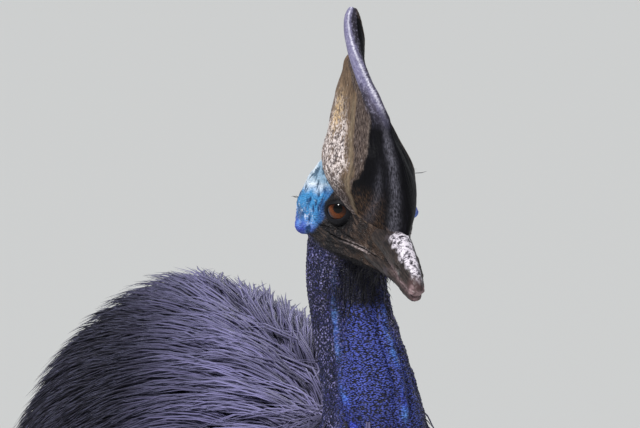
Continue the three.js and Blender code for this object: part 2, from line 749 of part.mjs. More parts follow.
// The two wattles hang side by side from the front of the neck, folded along and bulbed at the end.
const wattleForm = (side) =>
  new Form(
    [
      { at: [side * 9 - 4, -398, 944], half: 7, top: 8, bottom: 9 },
      { at: [side * 13 - 4, -421, 922], half: 8, top: 7, bottom: 7 },
      { at: [side * 16 - 4, -431, 892], half: 10, top: 7.5, bottom: 7 },
      { at: [side * 18 - 4, -433, 858], half: 12.5, top: 8.5, bottom: 8.5 },
      { at: [side * 19 - 4, -432, 834], half: 14, top: 10, bottom: 10 },
      { at: [side * 19 - 4, -430, 818], half: 7, top: 5, bottom: 5 },
    ],
    forward,
    { folds: (t, angle) => 1.6 * Math.sin(Math.PI * t) * Math.cos(4 * angle + 3 * t) },
  );

// The whole bird.
const bird = new THREE.Group();
const floorBox = new THREE.BoxGeometry(2 * floorReach, 2 * floorReach, floorDepth);
const floorBlock = solid(floorBox.translate(0, 0, -floorDepth / 2));

const head = headSolids();
const headFrame = new THREE.Group();
headFrame.position.set(...headPlace);
headFrame.rotation.copy(headAngles);
headFrame.add(
  node("head", head.head, materials.headSkin),
  node("casque", head.casque, materials.casqueHorn),
  node("bill_upper", head.upperBill, materials.billHorn),
  node("bill_lower", head.lowerBill, materials.billHorn),
  node("eye_right", head.balls[0], materials.eye),
  node("eye_left", head.balls[1], materials.eye),
);
bird.add(headFrame);

const neckLowerTool = neckLowerSolid(gap);
const neckMiddle = (clear) => join([neckSolid("middle", clear), ...foldSolids(false, clear)]);
const neckUpper = join([neckSolid("upper"), ...foldSolids(true, 0)]);
const neckMiddleTool = neckMiddle(gap);
bird.add(
  node("neck_upper", cut(neckUpper, fromHead(head.tool), neckMiddleTool), materials.neckSkin),
  node("neck_middle", cut(neckMiddle(0), neckLowerTool), materials.neckSkin),
  node("neck_lower", neckLowerSolid(0), materials.plumage),
);

const trunkTool = trunkSolid(gap);
const wingTools = sides.map(({ side }) => wingSolid(side, gap));
bird.add(node("torso", cut(trunkSolid(0), neckLowerTool, ...wingTools), materials.plumage));

sides.forEach(({ name, side }, i) => {
  const wattle = solid(wattleForm(side).geometry({ rings: 9, sides: 10 }));
  bird.add(node(`wattle_${name}`, cut(wattle, neckLowerTool, neckMiddleTool), materials.wattle));
  bird.add(node(`wing_${name}`, wingSolid(side), materials.quill));

  const form = thighForm(side);
  const core = solid(form.geometry({ rings: 6, sides: 10, coat: thighCoat.core }));
  const thigh = join([core, ...thighLocks[i].map((lock) => lockSolid(form, lock))]);
  const given = scuteRings(shankScutes);
  const shank = (clear) => solid(shankForm(side).geometry({ given, sides: 8, clear }));
  const shankTool = shank(gap);
  bird.add(node(`thigh_${name}`, cut(thigh, trunkTool, shankTool), materials.plumage));
  bird.add(node(`shank_${name}`, cut(shank(0), floorBlock), materials.legScale));
  const placed = [];
  for (const toe of toes) {
    const { body, claw } = toeForms(side, toe);
    const rings = scuteRings({ ...toeScutes, count: toe.scutes });
    const flesh = (clear) => solid(body.geometry({ given: rings, sides: 7, clear }));
    const horn = solid(claw.geometry({ rings: 5, sides: 5 }));
    const toeSolid = cut(flesh(0), shankTool, floorBlock, ...placed);
    placed.push(flesh(gap));
    bird.add(
      node(`toe_${toe.name}_${name}`, toeSolid, materials.legScale),
      node(`claw_${toe.name}_${name}`, cut(horn, ...placed, floorBlock), materials.claw),
    );
  }
});

// The origin is on the floor, under the middle of the whole bird.
const bounds = new THREE.Box3().setFromObject(bird, true);
const middle = bounds.getCenter(new THREE.Vector3());
bird.position.set(-middle.x, -middle.y, -bounds.min.z);

export default bird;
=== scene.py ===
import math

import bmesh
import bpy
import numpy as np
from mathutils import Matrix, Vector, noise


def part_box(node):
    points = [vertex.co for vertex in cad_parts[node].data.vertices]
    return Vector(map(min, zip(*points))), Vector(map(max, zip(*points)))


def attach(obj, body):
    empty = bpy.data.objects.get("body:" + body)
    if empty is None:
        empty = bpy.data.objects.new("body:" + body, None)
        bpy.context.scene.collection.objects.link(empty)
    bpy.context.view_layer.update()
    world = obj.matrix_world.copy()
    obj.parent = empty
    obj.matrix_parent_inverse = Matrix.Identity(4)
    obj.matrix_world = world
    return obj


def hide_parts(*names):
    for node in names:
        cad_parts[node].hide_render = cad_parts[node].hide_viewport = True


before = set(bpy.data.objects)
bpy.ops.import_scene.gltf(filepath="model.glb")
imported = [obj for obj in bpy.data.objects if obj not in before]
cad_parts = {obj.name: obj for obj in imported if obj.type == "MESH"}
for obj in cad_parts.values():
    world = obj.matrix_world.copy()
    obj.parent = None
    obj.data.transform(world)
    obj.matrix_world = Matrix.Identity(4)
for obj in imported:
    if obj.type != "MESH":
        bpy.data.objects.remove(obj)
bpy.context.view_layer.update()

mm = 0.001
tau = 2 * math.pi
sideSigns = {"right": -1, "left": 1}

# The head's own frame: x to the bird's left, y back, z up, in millimetres from the middle between the eyes.
headFrame = {
    "turn": (14, -6.4, -1.1),  # bill down, left side up, to the right, in degrees
    "place": (-15, -385, 1128),  # in the body's frame
    "eyeMiddle": (0, 2.5, -4.2),
}


def centreOf(node):
    low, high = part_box(node)
    return (low + high) / 2


def headMatrix():
    pitch, roll, yaw = [math.radians(v) for v in headFrame["turn"]]
    return Matrix.Rotation(yaw, 3, "Z") @ Matrix.Rotation(pitch, 3, "X") @ Matrix.Rotation(roll, 3, "Y")


headTurn = np.array(headMatrix())
eyeMiddle = (centreOf("eye_right") + centreOf("eye_left")) / 2
headAt = np.array(eyeMiddle) - headTurn @ (np.array(headFrame["eyeMiddle"]) * mm)
bodyAt = headAt - np.array(headFrame["place"]) * mm


def fromHead(points):
    return np.asarray(points, float) * mm @ headTurn.T + headAt


def toHead(points):
    return (np.asarray(points, float) - headAt) @ headTurn / mm


def fromBody(points):
    return np.asarray(points, float) * mm + bodyAt


def toBody(points):
    return (np.asarray(points, float) - bodyAt) / mm


# Forms: a bent spine with a rounded section at each station, in millimetres.
def spline(points, t):
    p = np.asarray(points, float)
    p = np.vstack([2 * p[0] - p[1], p, 2 * p[-1] - p[-2]])
    f = np.clip(np.asarray(t, float), 0, 1) * (len(p) - 3)
    i = np.minimum(f.astype(int), len(p) - 4)
    w = (f - i)[..., None]
    a, b, c, d = p[i], p[i + 1], p[i + 2], p[i + 3]
    return b + 0.5 * w * ((c - a) + w * ((2 * a - 5 * b + 4 * c - d) + w * (3 * b - 3 * c + d - a)))


def unit(v):
    return v / np.maximum(np.linalg.norm(v, axis=-1, keepdims=True), 1e-9)


# stations: (place, half width, top, bottom, turn, sharp).
class Form:

    def __init__(self, stations, top, sharp=2.0, blunt=2.0, level=None):
        self.places = [s[0] for s in stations]
        rows = []
        for s in stations:
            turn = s[4] if len(s) > 4 else 0
            rows.append((s[1], s[2], s[3], turn, s[5] if len(s) > 5 else sharp))
        self.sizes = rows
        self.top = unit(np.array(top, float))
        self.blunt = blunt
        self.level = None if level is None else np.array(level, float)

    def axes(self, t):
        step = 0.002
        before, after = np.maximum(t - step, 0), np.minimum(t + step, 1)
        onward = unit(spline(self.places, after) - spline(self.places, before))
        along = onward if self.level is None else np.broadcast_to(self.level, onward.shape)
        up = unit(self.top - along * (along @ self.top)[..., None])
        turn = np.radians(spline(self.sizes, t)[..., 3])[..., None]
        up = up * np.cos(turn) + np.cross(along, up) * np.sin(turn)
        return along, up, np.cross(along, up)

    def point(self, t, angle, coat=0.0):
        t, angle = np.broadcast_arrays(np.asarray(t, float), np.asarray(angle, float))
        _, up, side = self.axes(t)
        size = spline(self.sizes, t)
        c, s = np.cos(angle), np.sin(angle)
        power = np.where(c > 0, 2 / size[..., 4], 2 / self.blunt)
        reach = np.where(c > 0, size[..., 1], size[..., 2]) + coat
        rise = np.sign(c) * np.abs(c) ** power * reach
        out = np.sign(s) * np.abs(s) ** power * (size[..., 0] + coat)
        return spline(self.places, t) + up * rise[..., None] + side * out[..., None]

    # Vertices and faces of a closed skin. Shape may move the points, given their t and angle.
    def grid(self, rings, sides, start=0.0, end=1.0, coat=0.0, shape=None):
        t = np.linspace(start, end, rings + 1)[:, None]
        angle = (np.arange(sides) * tau / sides)[None, :]
        points = self.point(t + 0 * angle, angle + 0 * t, coat)
        if shape is not None:
            points = shape(points, t + 0 * angle, angle + 0 * t)
        ends = [points[0].mean(axis=0), points[-1].mean(axis=0)]
        return np.vstack([points.reshape(-1, 3), ends]), gridFaces(rings, sides)


def gridFaces(rings, sides):
    faces = []
    first, last = (rings + 1) * sides, (rings + 1) * sides + 1
    for j in range(sides):
        k = (j + 1) % sides
        faces.append((first, k, j))
        faces.append((last, rings * sides + j, rings * sides + k))
        for i in range(rings):
            a, b = i * sides, (i + 1) * sides
            faces.append((a + j, a + k, b + k, b + j))
    return faces


# Where each vertex of a grid lies: its share of the way along, and its angle from the top.
def gridPlaces(rings, sides):
    t = np.append(np.repeat(np.linspace(0, 1, rings + 1), sides), (0, 1))
    return t, np.append(np.tile(np.arange(sides) * tau / sides, rings + 1), (0, 0))


# The angle from the top on either side, in degrees.
def turnOf(angle):
    return np.degrees(np.abs(np.where(angle > math.pi, angle - tau, angle)))


def smoothed(made):
    for polygon in made.data.polygons:
        polygon.use_smooth = True
    return made


def meshObject(name, points, faces):
    mesh = bpy.data.meshes.new(name)
    mesh.from_pydata([tuple(p) for p in points], [], faces)
    mesh.validate()
    made = bpy.data.objects.new(name, mesh)
    bpy.context.scene.collection.objects.link(made)
    return smoothed(made)


def joinParts(name, parts):
    points, faces, start = [], [], 0
    for partPoints, partFaces in parts:
        points.append(np.asarray(partPoints, float))
        faces += [tuple(i + start for i in face) for face in partFaces]
        start += len(partPoints)
    return meshObject(name, np.vstack(points), faces)


# The object with its modifiers made part of its mesh.
def applied(made):
    graph = bpy.context.evaluated_depsgraph_get()
    mesh = bpy.data.meshes.new_from_object(made.evaluated_get(graph))
    old = made.data
    made.modifiers.clear()
    made.data = mesh
    bpy.data.meshes.remove(old)
    return smoothed(made)


def remeshed(made, settings):
    remesh = made.modifiers.new("remesh", "REMESH")
    remesh.mode = "VOXEL"
    remesh.voxel_size = settings["voxel"] * mm
    smooth = made.modifiers.new("smooth", "SMOOTH")
    smooth.factor = 0.5
    smooth.iterations = settings["smoothing"]
    if settings["subdivisions"]:
        subdivide = made.modifiers.new("subdivide", "SUBSURF")
        subdivide.levels = subdivide.render_levels = settings["subdivisions"]
    return applied(made)


def coordinates(made):
    points = np.empty(len(made.data.vertices) * 3)
    made.data.vertices.foreach_get("co", points)
    return points.reshape(-1, 3)


def normalsOf(made):
    normals = np.empty(len(made.data.vertices) * 3, np.float32)
    made.data.vertex_normals.foreach_get("vector", normals)
    return normals.reshape(-1, 3).astype(float)


def moveTo(made, points):
    made.data.vertices.foreach_set("co", np.asarray(points, np.float32).ravel())
    made.data.update()


# One number or one vector for each vertex, under the attribute's name.
def setAttributes(made, **given):
    for name, values in given.items():
        values = np.asarray(values, np.float32)
        kind, field = ("FLOAT_VECTOR", "vector") if values.ndim > 1 else ("FLOAT", "value")
        attribute = made.data.attributes.get(name) or made.data.attributes.new(name, kind, "POINT")
        attribute.data.foreach_set(field, values.ravel())


def ramp(x, start, end):
    share = np.clip((np.asarray(x, float) - start) / (end - start), 0, 1)
    return share * share * (3 - 2 * share)


def ball(distance, reach):
    return np.exp(-((distance / reach) ** 2))


# Smooth noise from -1 to 1 at each point, with the given cells per unit.
def grain(points, scale, seed=0.0):
    flat = (points * scale + seed).reshape(-1, 3)
    return np.array([noise.noise(Vector(p)) for p in flat]).reshape(points.shape[:-1])


# 1 at the middle of each cell, falling to 0 at its edge.
def pebbles(points, scale):
    flat = (points * scale).reshape(-1, 3)
    found = np.array([noise.voronoi(Vector(p))[0][:2] for p in flat])
    return np.clip((found[:, 1] - found[:, 0]) * 1.6, 0, 1).reshape(points.shape[:-1])


# How far each point is from a bent line, the share of the way along it, and how far above it.
def besideLine(points, line):
    line = np.array(line, float)
    steps = np.linalg.norm(np.diff(line, axis=0), axis=1)
    best = np.full(len(points), 1e9)
    share = np.zeros(len(points))
    over = np.zeros(len(points))
    for i, (a, b) in enumerate(zip(line[:-1], line[1:])):
        way = b - a
        w = np.clip((points - a) @ way / (way @ way), 0, 1)
        off = points - a - w[:, None] * way
        apart = np.linalg.norm(off, axis=1)
        mine = apart < best
        best[mine] = apart[mine]
        share[mine] = ((steps[:i].sum() + w * steps[i]) / steps.sum())[mine]
        over[mine] = off[mine, -1]
    return best, share, np.where(over < 0, -best, best)


# A value given at a few places, read between them.
def column(pairs, at):
    known = np.array(sorted(pairs), float)
    return np.interp(at, known[:, 0], known[:, 1])


# Every piece rides on the bird's one body.
def finishPiece(piece, material, slot, *nodes):
    piece.data.materials.clear()
    piece.data.materials.append(material)
    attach(piece, "root")
    if nodes:
        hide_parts(*nodes)


# Shaders: what is the same all over a piece is set on the shader itself.
def newMaterial(name, roughness, **constants):
    material = bpy.data.materials.new(name)
    material.use_nodes = True
    shader = material.node_tree.nodes["Principled BSDF"]
    shader.inputs["Roughness"].default_value = roughness
    for socket, value in constants.items():
        shader.inputs[socket.replace("_", " ")].default_value = value
    return material, material.node_tree, shader


# A node's output is linked, and anything else becomes the socket's own value.
def feed(tree, value, socket):
    if isinstance(value, bpy.types.NodeSocket):
        tree.links.new(value, socket)
    else:
        socket.default_value = value


def inUse(sockets, name=None):
    return next(s for s in sockets if s.enabled and name in (None, s.name))


# A node with its inputs fed by name, and its own settings.
def put(tree, kind, inputs=None, **settings):
    node = tree.nodes.new(kind)
    for key, value in settings.items():
        setattr(node, key, value)
    for key, value in (inputs or {}).items():
        feed(tree, value, inUse(node.inputs, key))
    return node


def rgb(r, g, b):
    return (r, g, b, 1)


def objectPoint(tree, scale=(1, 1, 1)):
    place = put(tree, "ShaderNodeTexCoord").outputs["Object"]
    return put(tree, "ShaderNodeMapping", {"Vector": place, "Scale": scale}).outputs["Vector"]


def noiseOf(tree, place, scale, detail=4, roughness=0.55):
    inputs = {"Vector": place, "Scale": scale, "Detail": detail, "Roughness": roughness}
    return put(tree, "ShaderNodeTexNoise", inputs).outputs["Fac"]


def cellsOf(tree, place, scale):
    return put(tree, "ShaderNodeTexVoronoi", {"Vector": place, "Scale": scale}).outputs["Distance"]


def attributeOf(tree, name, output="Fac"):
    return put(tree, "ShaderNodeAttribute", attribute_name=name).outputs[output]


def mathOf(tree, operation, a, b=0.0):
    node = put(tree, "ShaderNodeMath", operation=operation)
    feed(tree, a, node.inputs[0])
    feed(tree, b, node.inputs[1])
    return node.outputs[0]


def span(tree, value, low, high, least=0.0, most=1.0):
    inputs = {"Value": value, "From Min": low, "From Max": high, "To Min": least, "To Max": most}
    return put(tree, "ShaderNodeMapRange", inputs, interpolation_type="SMOOTHSTEP").outputs["Result"]


overlayInputs = {
    "Under": "Color",
    "Over": "Color",
    "Pattern": "Float",
    "Low": "Float",
    "High": "Float",
    "Least": "Float",
    "Most": "Float",
    "Mask": "Float",
}


# The group that every painted finish uses: it lays one colour over another, from least to most,
# as a pattern goes from low to high, inside a mask.
def overlayTree():
    tree = bpy.data.node_groups.new("laid over", "ShaderNodeTree")
    for name, kind in overlayInputs.items():
        tree.interface.new_socket(name, in_out="INPUT", socket_type="NodeSocket" + kind)
    tree.interface.new_socket("Color", in_out="OUTPUT", socket_type="NodeSocketColor")
    given = tree.nodes.new("NodeGroupInput").outputs
    ranges = [given[name] for name in ("Low", "High", "Least", "Most")]
    share = mathOf(tree, "MULTIPLY", span(tree, given["Pattern"], *ranges), given["Mask"])
    inputs = {"Factor": share, "A": given["Under"], "B": given["Over"]}
    mix = put(tree, "ShaderNodeMix", inputs, data_type="RGBA")
    put(tree, "NodeGroupOutput", {"Color": inUse(mix.outputs)})
    return tree


# Pattern and mask are each a value, or the name of an attribute.
def laid(tree, under, over, pattern=1.0, values=(0.0, 1.0), least=0.0, most=1.0, mask=1.0):
    pattern, mask = [attributeOf(tree, v) if isinstance(v, str) else v for v in (pattern, mask)]
    inputs = {"Under": under, "Over": over, "Pattern": pattern, "Mask": mask}
    inputs.update({"Low": values[0], "High": values[1], "Least": least, "Most": most})
    group = bpy.data.node_groups.get("laid over") or overlayTree()
    return put(tree, "ShaderNodeGroup", inputs, node_tree=group).outputs["Color"]


def bumped(tree, shader, height, strength, distance, normal=None):
    node = put(tree, "ShaderNodeBump", {"Height": height, "Strength": strength, "Distance": distance})
    if normal is not None:
        tree.links.new(normal, node.inputs["Normal"])
    tree.links.new(node.outputs["Normal"], shader.inputs["Normal"])
    return node.outputs["Normal"]


def setGiven(tree, shader, **sockets):
    for key, value in sockets.items():
        tree.links.new(value, shader.inputs[key.replace("_", " ")])


# The bird's forms, as in the frame's named sizes.
forward = (0, -1, 0)
upward = (0, 0, 1)
headForm = Form(
    [
        ((0, -66, -22), 7, 9, 12),
        ((0, -46, -21), 14, 20, 24),
        ((0, -22, -21), 24, 33, 31),
        ((0, 0, -21), 33, 44, 34),
        ((0, 18, -22), 41, 52, 34),
        ((0, 36, -23), 46.5, 58, 32),
        ((0, 52, -22), 41, 51, 30),
        ((0, 67, -19), 20, 28, 20),
    ],
    upward,
)
casqueForm = Form(
    [
        ((2, -22, -15), 11, 46, 20, 3, 1.5),
        ((1, -14, -4), 20, 57, 36, 5, 1.45),
        ((0, -4, 12), 29, 68, 50, 6, 1.5),
        ((-2.5, -4, 30), 31.5, 66, 58, 6, 1.6),
        ((-3.7, -8, 50), 24, 57, 57, 6, 1.7),
        ((-4.4, -3, 66), 16.6, 51, 51, 6, 1.7),
        ((-6.4, 2, 84), 10.5, 43, 38, 6, 1.7),
        ((-6.2, 6, 101), 6.2, 33, 27, 4, 1.7),
        ((-5.8, 9, 112), 5, 25, 22, 1, 1.7),
        ((-4.5, 9, 122), 4.6, 17, 18, -20, 1.7),
        ((-4.6, 13, 137), 4, 11, 10.5, -44, 1.7),
        ((-4, 18, 149), 3.4, 6, 5.5, -55, 1.7),
        ((-4.4, 21, 156.5), 2.2, 3, 2.8, -55, 1.7),
    ],
    forward,
    blunt=1.85,
    level=upward,
)
rimForm = Form(
    [
        ((-4.8, 21, 157), 2, 2, 3),
        ((-9.3, 16, 150), 3.6, 3, 5),
        ((-11.4, 9, 140), 4.2, 3.5, 7),
        ((-11.3, 0, 129), 4.8, 4, 8),
        ((-10.2, -9, 118), 5.4, 4, 9),
        ((-8.5, -19, 106), 6, 4, 10),
        ((-5.3, -30, 93), 6.4, 4, 10),
        ((-1.8, -42, 77), 6, 3.5, 10),
        ((0, -52, 60), 3, 1.5, 6),
    ],
    forward,
)
upperBillForm = Form(
    [
        ((0, -42, -14), 15, 12, 7.5),
        ((0, -66, -20), 12, 16, 9),
        ((-1, -88, -26), 9.5, 12.5, 8.5),
        ((-2.4, -103, -30), 7.8, 9.5, 7.5),
        ((-3.4, -113, -32.5), 5.5, 6, 6),
        ((-3.8, -118, -34), 2.5, 2.5, 3),
    ],
    upward,
    sharp=1.8,
)
lowerBillForm = Form(
    [
        ((0, -34, -30), 19, 6, 12),
        ((0, -55, -33), 15, 6.5, 11),
        ((-0.6, -80, -36.5), 10, 5, 7),
        ((-2, -98, -40), 7.5, 4, 5),
        ((-3.2, -109, -41.5), 5.2, 3, 3.5),
        ((-3.6, -114, -41.5), 2.5, 1.5, 1.5),
    ],
    upward,
)
neckForm = Form(
    [
        ((0, -235, 822), 62, 78, 80),
        ((0, -292, 858), 62, 68, 72),
        ((-2, -345, 900), 52, 56, 56),
        ((-5, -367, 944), 41.5, 43, 43),
        ((-9, -356, 988), 35, 38, 36),
        ((-13, -338, 1030), 31.5, 34, 32),
        ((-16.5, -334, 1064), 31, 33, 31),
        ((-17, -340, 1100), 31, 30, 30),
    ],
    forward,
)
trunkForm = Form(
    [
        ((0, -318, 837), 40, 42, 52),
        ((0, -262, 835), 88, 94, 118),
        ((0, -180, 833), 117, 135, 154),
        ((0, -85, 831), 131, 162, 169),
        ((0, 15, 827), 135, 176, 170),
        ((0, 110, 817), 131, 176, 162),
        ((0, 200, 793), 118, 154, 145),
        ((0, 278, 747), 98, 118, 108),
        ((0, 322, 689), 76, 76, 72),
        ((0, 338, 637), 34, 30, 32),
    ],
    upward,
    sharp=1.65,
)
legSizes = {"spread": 84, "back": 64}


def thighForm(side):
    x, y = side * legSizes["spread"], legSizes["back"]
    return Form(
        [
            ((side * 62, y - 80, 740), 40, 66, 70),
            ((side * 76, y - 84, 665), 51, 76, 80),
            ((x, y - 62, 585), 48, 60, 62),
            ((x, y - 16, 500), 34, 40, 40),
            ((x, y + 26, 430), 23, 26, 27),
            ((x, y + 44, 390), 21, 22, 23),
        ],
        forward,
    )


def shankForm(side):
    x, y = side * legSizes["spread"], legSizes["back"]
    return Form(
        [
            ((x, y + 38, 400), 20, 21, 22),
            ((x, y + 50, 372), 24, 25, 27),
            ((x, y + 54, 344), 26, 26, 29),
            ((x, y + 46, 304), 20, 21, 24),
            ((x, y + 33, 220), 17.5, 19, 20),
            ((x, y + 19, 130), 18, 20, 20),
            ((x, y + 8, 70), 22, 24, 24),
            ((x, y + 2, 36), 27, 27, 27),
            ((x, y, 12), 25, 25, 25),
            ((x, y, -4), 18, 18, 18),
        ],
        forward,
    )


toeSizes = {
    "middle": {"turn": 4, "length": 158, "half": 16, "height": 31, "claw": 48, "clawHalf": 8.5, "scutes": 15},
    "inner": {"turn": -18, "length": 92, "half": 15, "height": 30, "claw": 100, "clawHalf": 10, "scutes": 8},
    "outer": {"turn": 36, "length": 118, "half": 14, "height": 28, "claw": 40, "clawHalf": 7.5, "scutes": 11},
}


def toeForms(side, toe):
    root = np.array((side * legSizes["spread"], legSizes["back"], 0.0))
    turn = math.radians(side * toe["turn"])
    way = np.array((math.sin(turn), -math.cos(turn), 0.0))
    length, h, w, c, claw = toe["length"], toe["height"] / 2, toe["half"], toe["clawHalf"], toe["claw"]

    def at(distance, height):
        return tuple(root + way * distance + np.array((0, 0, height)))

    flesh = Form(
        [
            (at(4, h + 6), w, h, h + 4),
            (at(length * 0.3, h + 2), w, h, h + 4),
            (at(length * 0.6, h - 1), w * 0.92, h * 0.88, h),
            (at(length * 0.86, h - 3), w * 0.9, h * 0.78, h * 0.9),
            (at(length, h - 4), w * 0.62, h * 0.55, h * 0.6),
        ],
        upward,
    )
    horn = Form(
        [
            (at(length - 14, h - 2), c, c, c * 0.9),
            (at(length + claw * 0.3, h - 2.5), c * 0.85, c * 0.9, c * 0.7),
            (at(length + claw * 0.7, h - 6), c * 0.5, c * 0.55, c * 0.4),
            (at(length + claw, 3), 0.7, 0.8, 0.8),
        ],
        upward,
    )
    return flesh, horn


wingSizes = {"quills": 5, "coat": 27, "radii": (3.2, 2.8, 2.0, 0.8)}


def rodForm(places, radii):
    return Form([(tuple(p), r, r, r) for p, r in zip(places, radii)], (0.2, 0.1, 1))


# Places beside the trunk: share of its spine, angle from the back in degrees, and how far out.
def besideTrunk(side, places):
    t, angle, out = np.array(places, float).T
    return trunkForm.point(t, np.radians(side * angle), out)


def armForm(side, share=1.0):
    coat = wingSizes["coat"]
    places = [(0.2, 74, 12), (0.26, 80, coat), (0.34, 90, coat + 5), (0.4, 97, coat + 3)]
    return rodForm(besideTrunk(side, places), [r * share for r in (9, 17, 15, 7)])


def quillForms(side):
    made = []
    coat = wingSizes["coat"]
    for share in np.linspace(0, 1, wingSizes["quills"]):
        places = [
            (0.36 - 0.02 * share, 92 + 3 * share, coat + 3),
            (0.44 - 0.01 * share, 98 + 8 * share, coat + 12 + 2 * share),
            (0.53 - 0.04 * share, 106 + 11 * share, coat + 13 + 3 * share),
            (0.61 - 0.07 * share, 113 + 14 * share, coat + 9 + 4 * share),
        ]
        made.append(rodForm(besideTrunk(side, places), wingSizes["radii"]))
    return made


def wattleForm(side):
    return Form(
        [
            ((side * 9 - 4, -398, 944), 7, 8, 9),
            ((side * 13 - 4, -421, 922), 8, 7, 7),
            ((side * 16 - 4, -431, 892), 10, 7.5, 7),
            ((side * 18 - 4, -433, 858), 12.5, 8.5, 8.5),
            ((side * 19 - 4, -432, 834), 14, 10, 10),
            ((side * 19 - 4, -430, 818), 7, 5, 5),
        ],
        forward,
    )


print("forms ready")


# Camera, floor and light.
cameraSettings = {"azimuth": -21.0, "elevation": 6.0, "distance": 4.0, "lens": 281.7, "sensor": 36.0}
frameSettings = {"width": 640, "height": 428, "headPixel": (370.5, 200.4)}


def makeCamera():
    azimuth = math.radians(cameraSettings["azimuth"])
    elevation = math.radians(cameraSettings["elevation"])
    right = np.array((math.cos(azimuth), math.sin(azimuth), 0))
    level = math.cos(elevation)
    back = np.array((math.sin(azimuth) * level, -math.cos(azimuth) * level, math.sin(elevation)))
    up = np.cross(back, right)
    width = frameSettings["width"]
    scale = cameraSettings["lens"] / cameraSettings["sensor"] * width / cameraSettings["distance"]
    dx = (frameSettings["headPixel"][0] - width / 2) / scale
    dy = (frameSettings["height"] / 2 - frameSettings["headPixel"][1]) / scale
    data = bpy.data.cameras.new("camera")
    data.lens = cameraSettings["lens"]
    data.sensor_width = cameraSettings["sensor"]
    data.clip_end = 200
    camera = bpy.data.objects.new("camera", data)
    camera.location = headAt + back * cameraSettings["distance"] - right * dx - up * dy
    camera.rotation_euler = Vector(-back).to_track_quat("-Z", "Y").to_euler()
    bpy.context.scene.collection.objects.link(camera)
    bpy.context.scene.camera = camera


def makeFloor():
    half = 60.0
    corners = [(-half, -half, 0), (half, -half, 0), (half, half, 0), (-half, half, 0)]
    floor = meshObject("floor", corners, [(0, 1, 2, 3)])
    floor.data.materials.append(newMaterial("pale floor", 0.8, Base_Color=rgb(0.6, 0.6, 0.58))[0])


lightSettings = {
    "key": {"kind": "SUN", "at": (-2.0, -1.5, 3.3), "size": 0.22, "power": 3.4},
    "front": {"kind": "AREA", "at": (1.3, -4.1, 2.2), "size": 2.4, "power": 13},
    "rear": {"kind": "AREA", "at": (1.6, 1.9, 2.9), "size": 1.4, "power": 26},
}
studioSettings = {"aim": (0, -0.25, 1.0), "sky": rgb(0.86, 0.91, 1.0), "strength": 0.34}


def makeLights():
    for name, light in lightSettings.items():
        data = bpy.data.lights.new(name, light["kind"])
        if light["kind"] == "SUN":
            data.angle = light["size"]
        else:
            data.size = light["size"]
        data.energy = light["power"]
        made = bpy.data.objects.new(name, data)
        made.location = light["at"]
        aim = Vector(studioSettings["aim"]) - made.location
        made.rotation_euler = aim.to_track_quat("-Z", "Y").to_euler()
        bpy.context.scene.collection.objects.link(made)
    world = bpy.data.worlds.new("studio")
    world.use_nodes = True
    sky = world.node_tree.nodes["Background"].inputs
    sky["Color"].default_value = studioSettings["sky"]
    sky["Strength"].default_value = studioSettings["strength"]
    bpy.context.scene.world = world
    bpy.context.scene.view_settings.view_transform = "Standard"


makeCamera()
makeFloor()
makeLights()
print("camera, floor and light ready")


# Body skin under the plumage, with the lie of the coat on it.
bodySkin = {"voxel": 9.0, "quickVoxel": 9.0, "smoothing": 6, "subdivisions": 0}
coatEdges = {"shoulder": (0.38, 0.4), "back": (0.2, 0.45), "thigh": (405, 420), "neck": (962, 946)}
coatParts = {
    "neck": {"way": -1, "fall": 0.0, "length": 88},
    "trunk": {"way": 1, "fall": 0.32, "length": 138},
    "thigh": {"way": 1, "fall": 0.0, "length": 70},
}


def spineSamples(form, start=0.0, end=1.0, count=160):
    t = np.linspace(start, end, count)
    along, up, side = form.axes(t)
    size = spline(form.sizes, t)[:, :3].mean(axis=1)
    return {"t": t, "at": spline(form.places, t), "along": along, "up": up, "side": side, "size": size}


# For each point the share of the form's own size that it stands off, and the nearest sample.
def nearest(samples, points):
    best = np.full(len(points), 1e9)
    which = np.zeros(len(points), int)
    for i in range(len(samples["t"])):
        apart = np.linalg.norm(points - samples["at"][i], axis=1) / samples["size"][i]
        closer = apart < best
        best[closer] = apart[closer]
        which[closer] = i
    return best, which


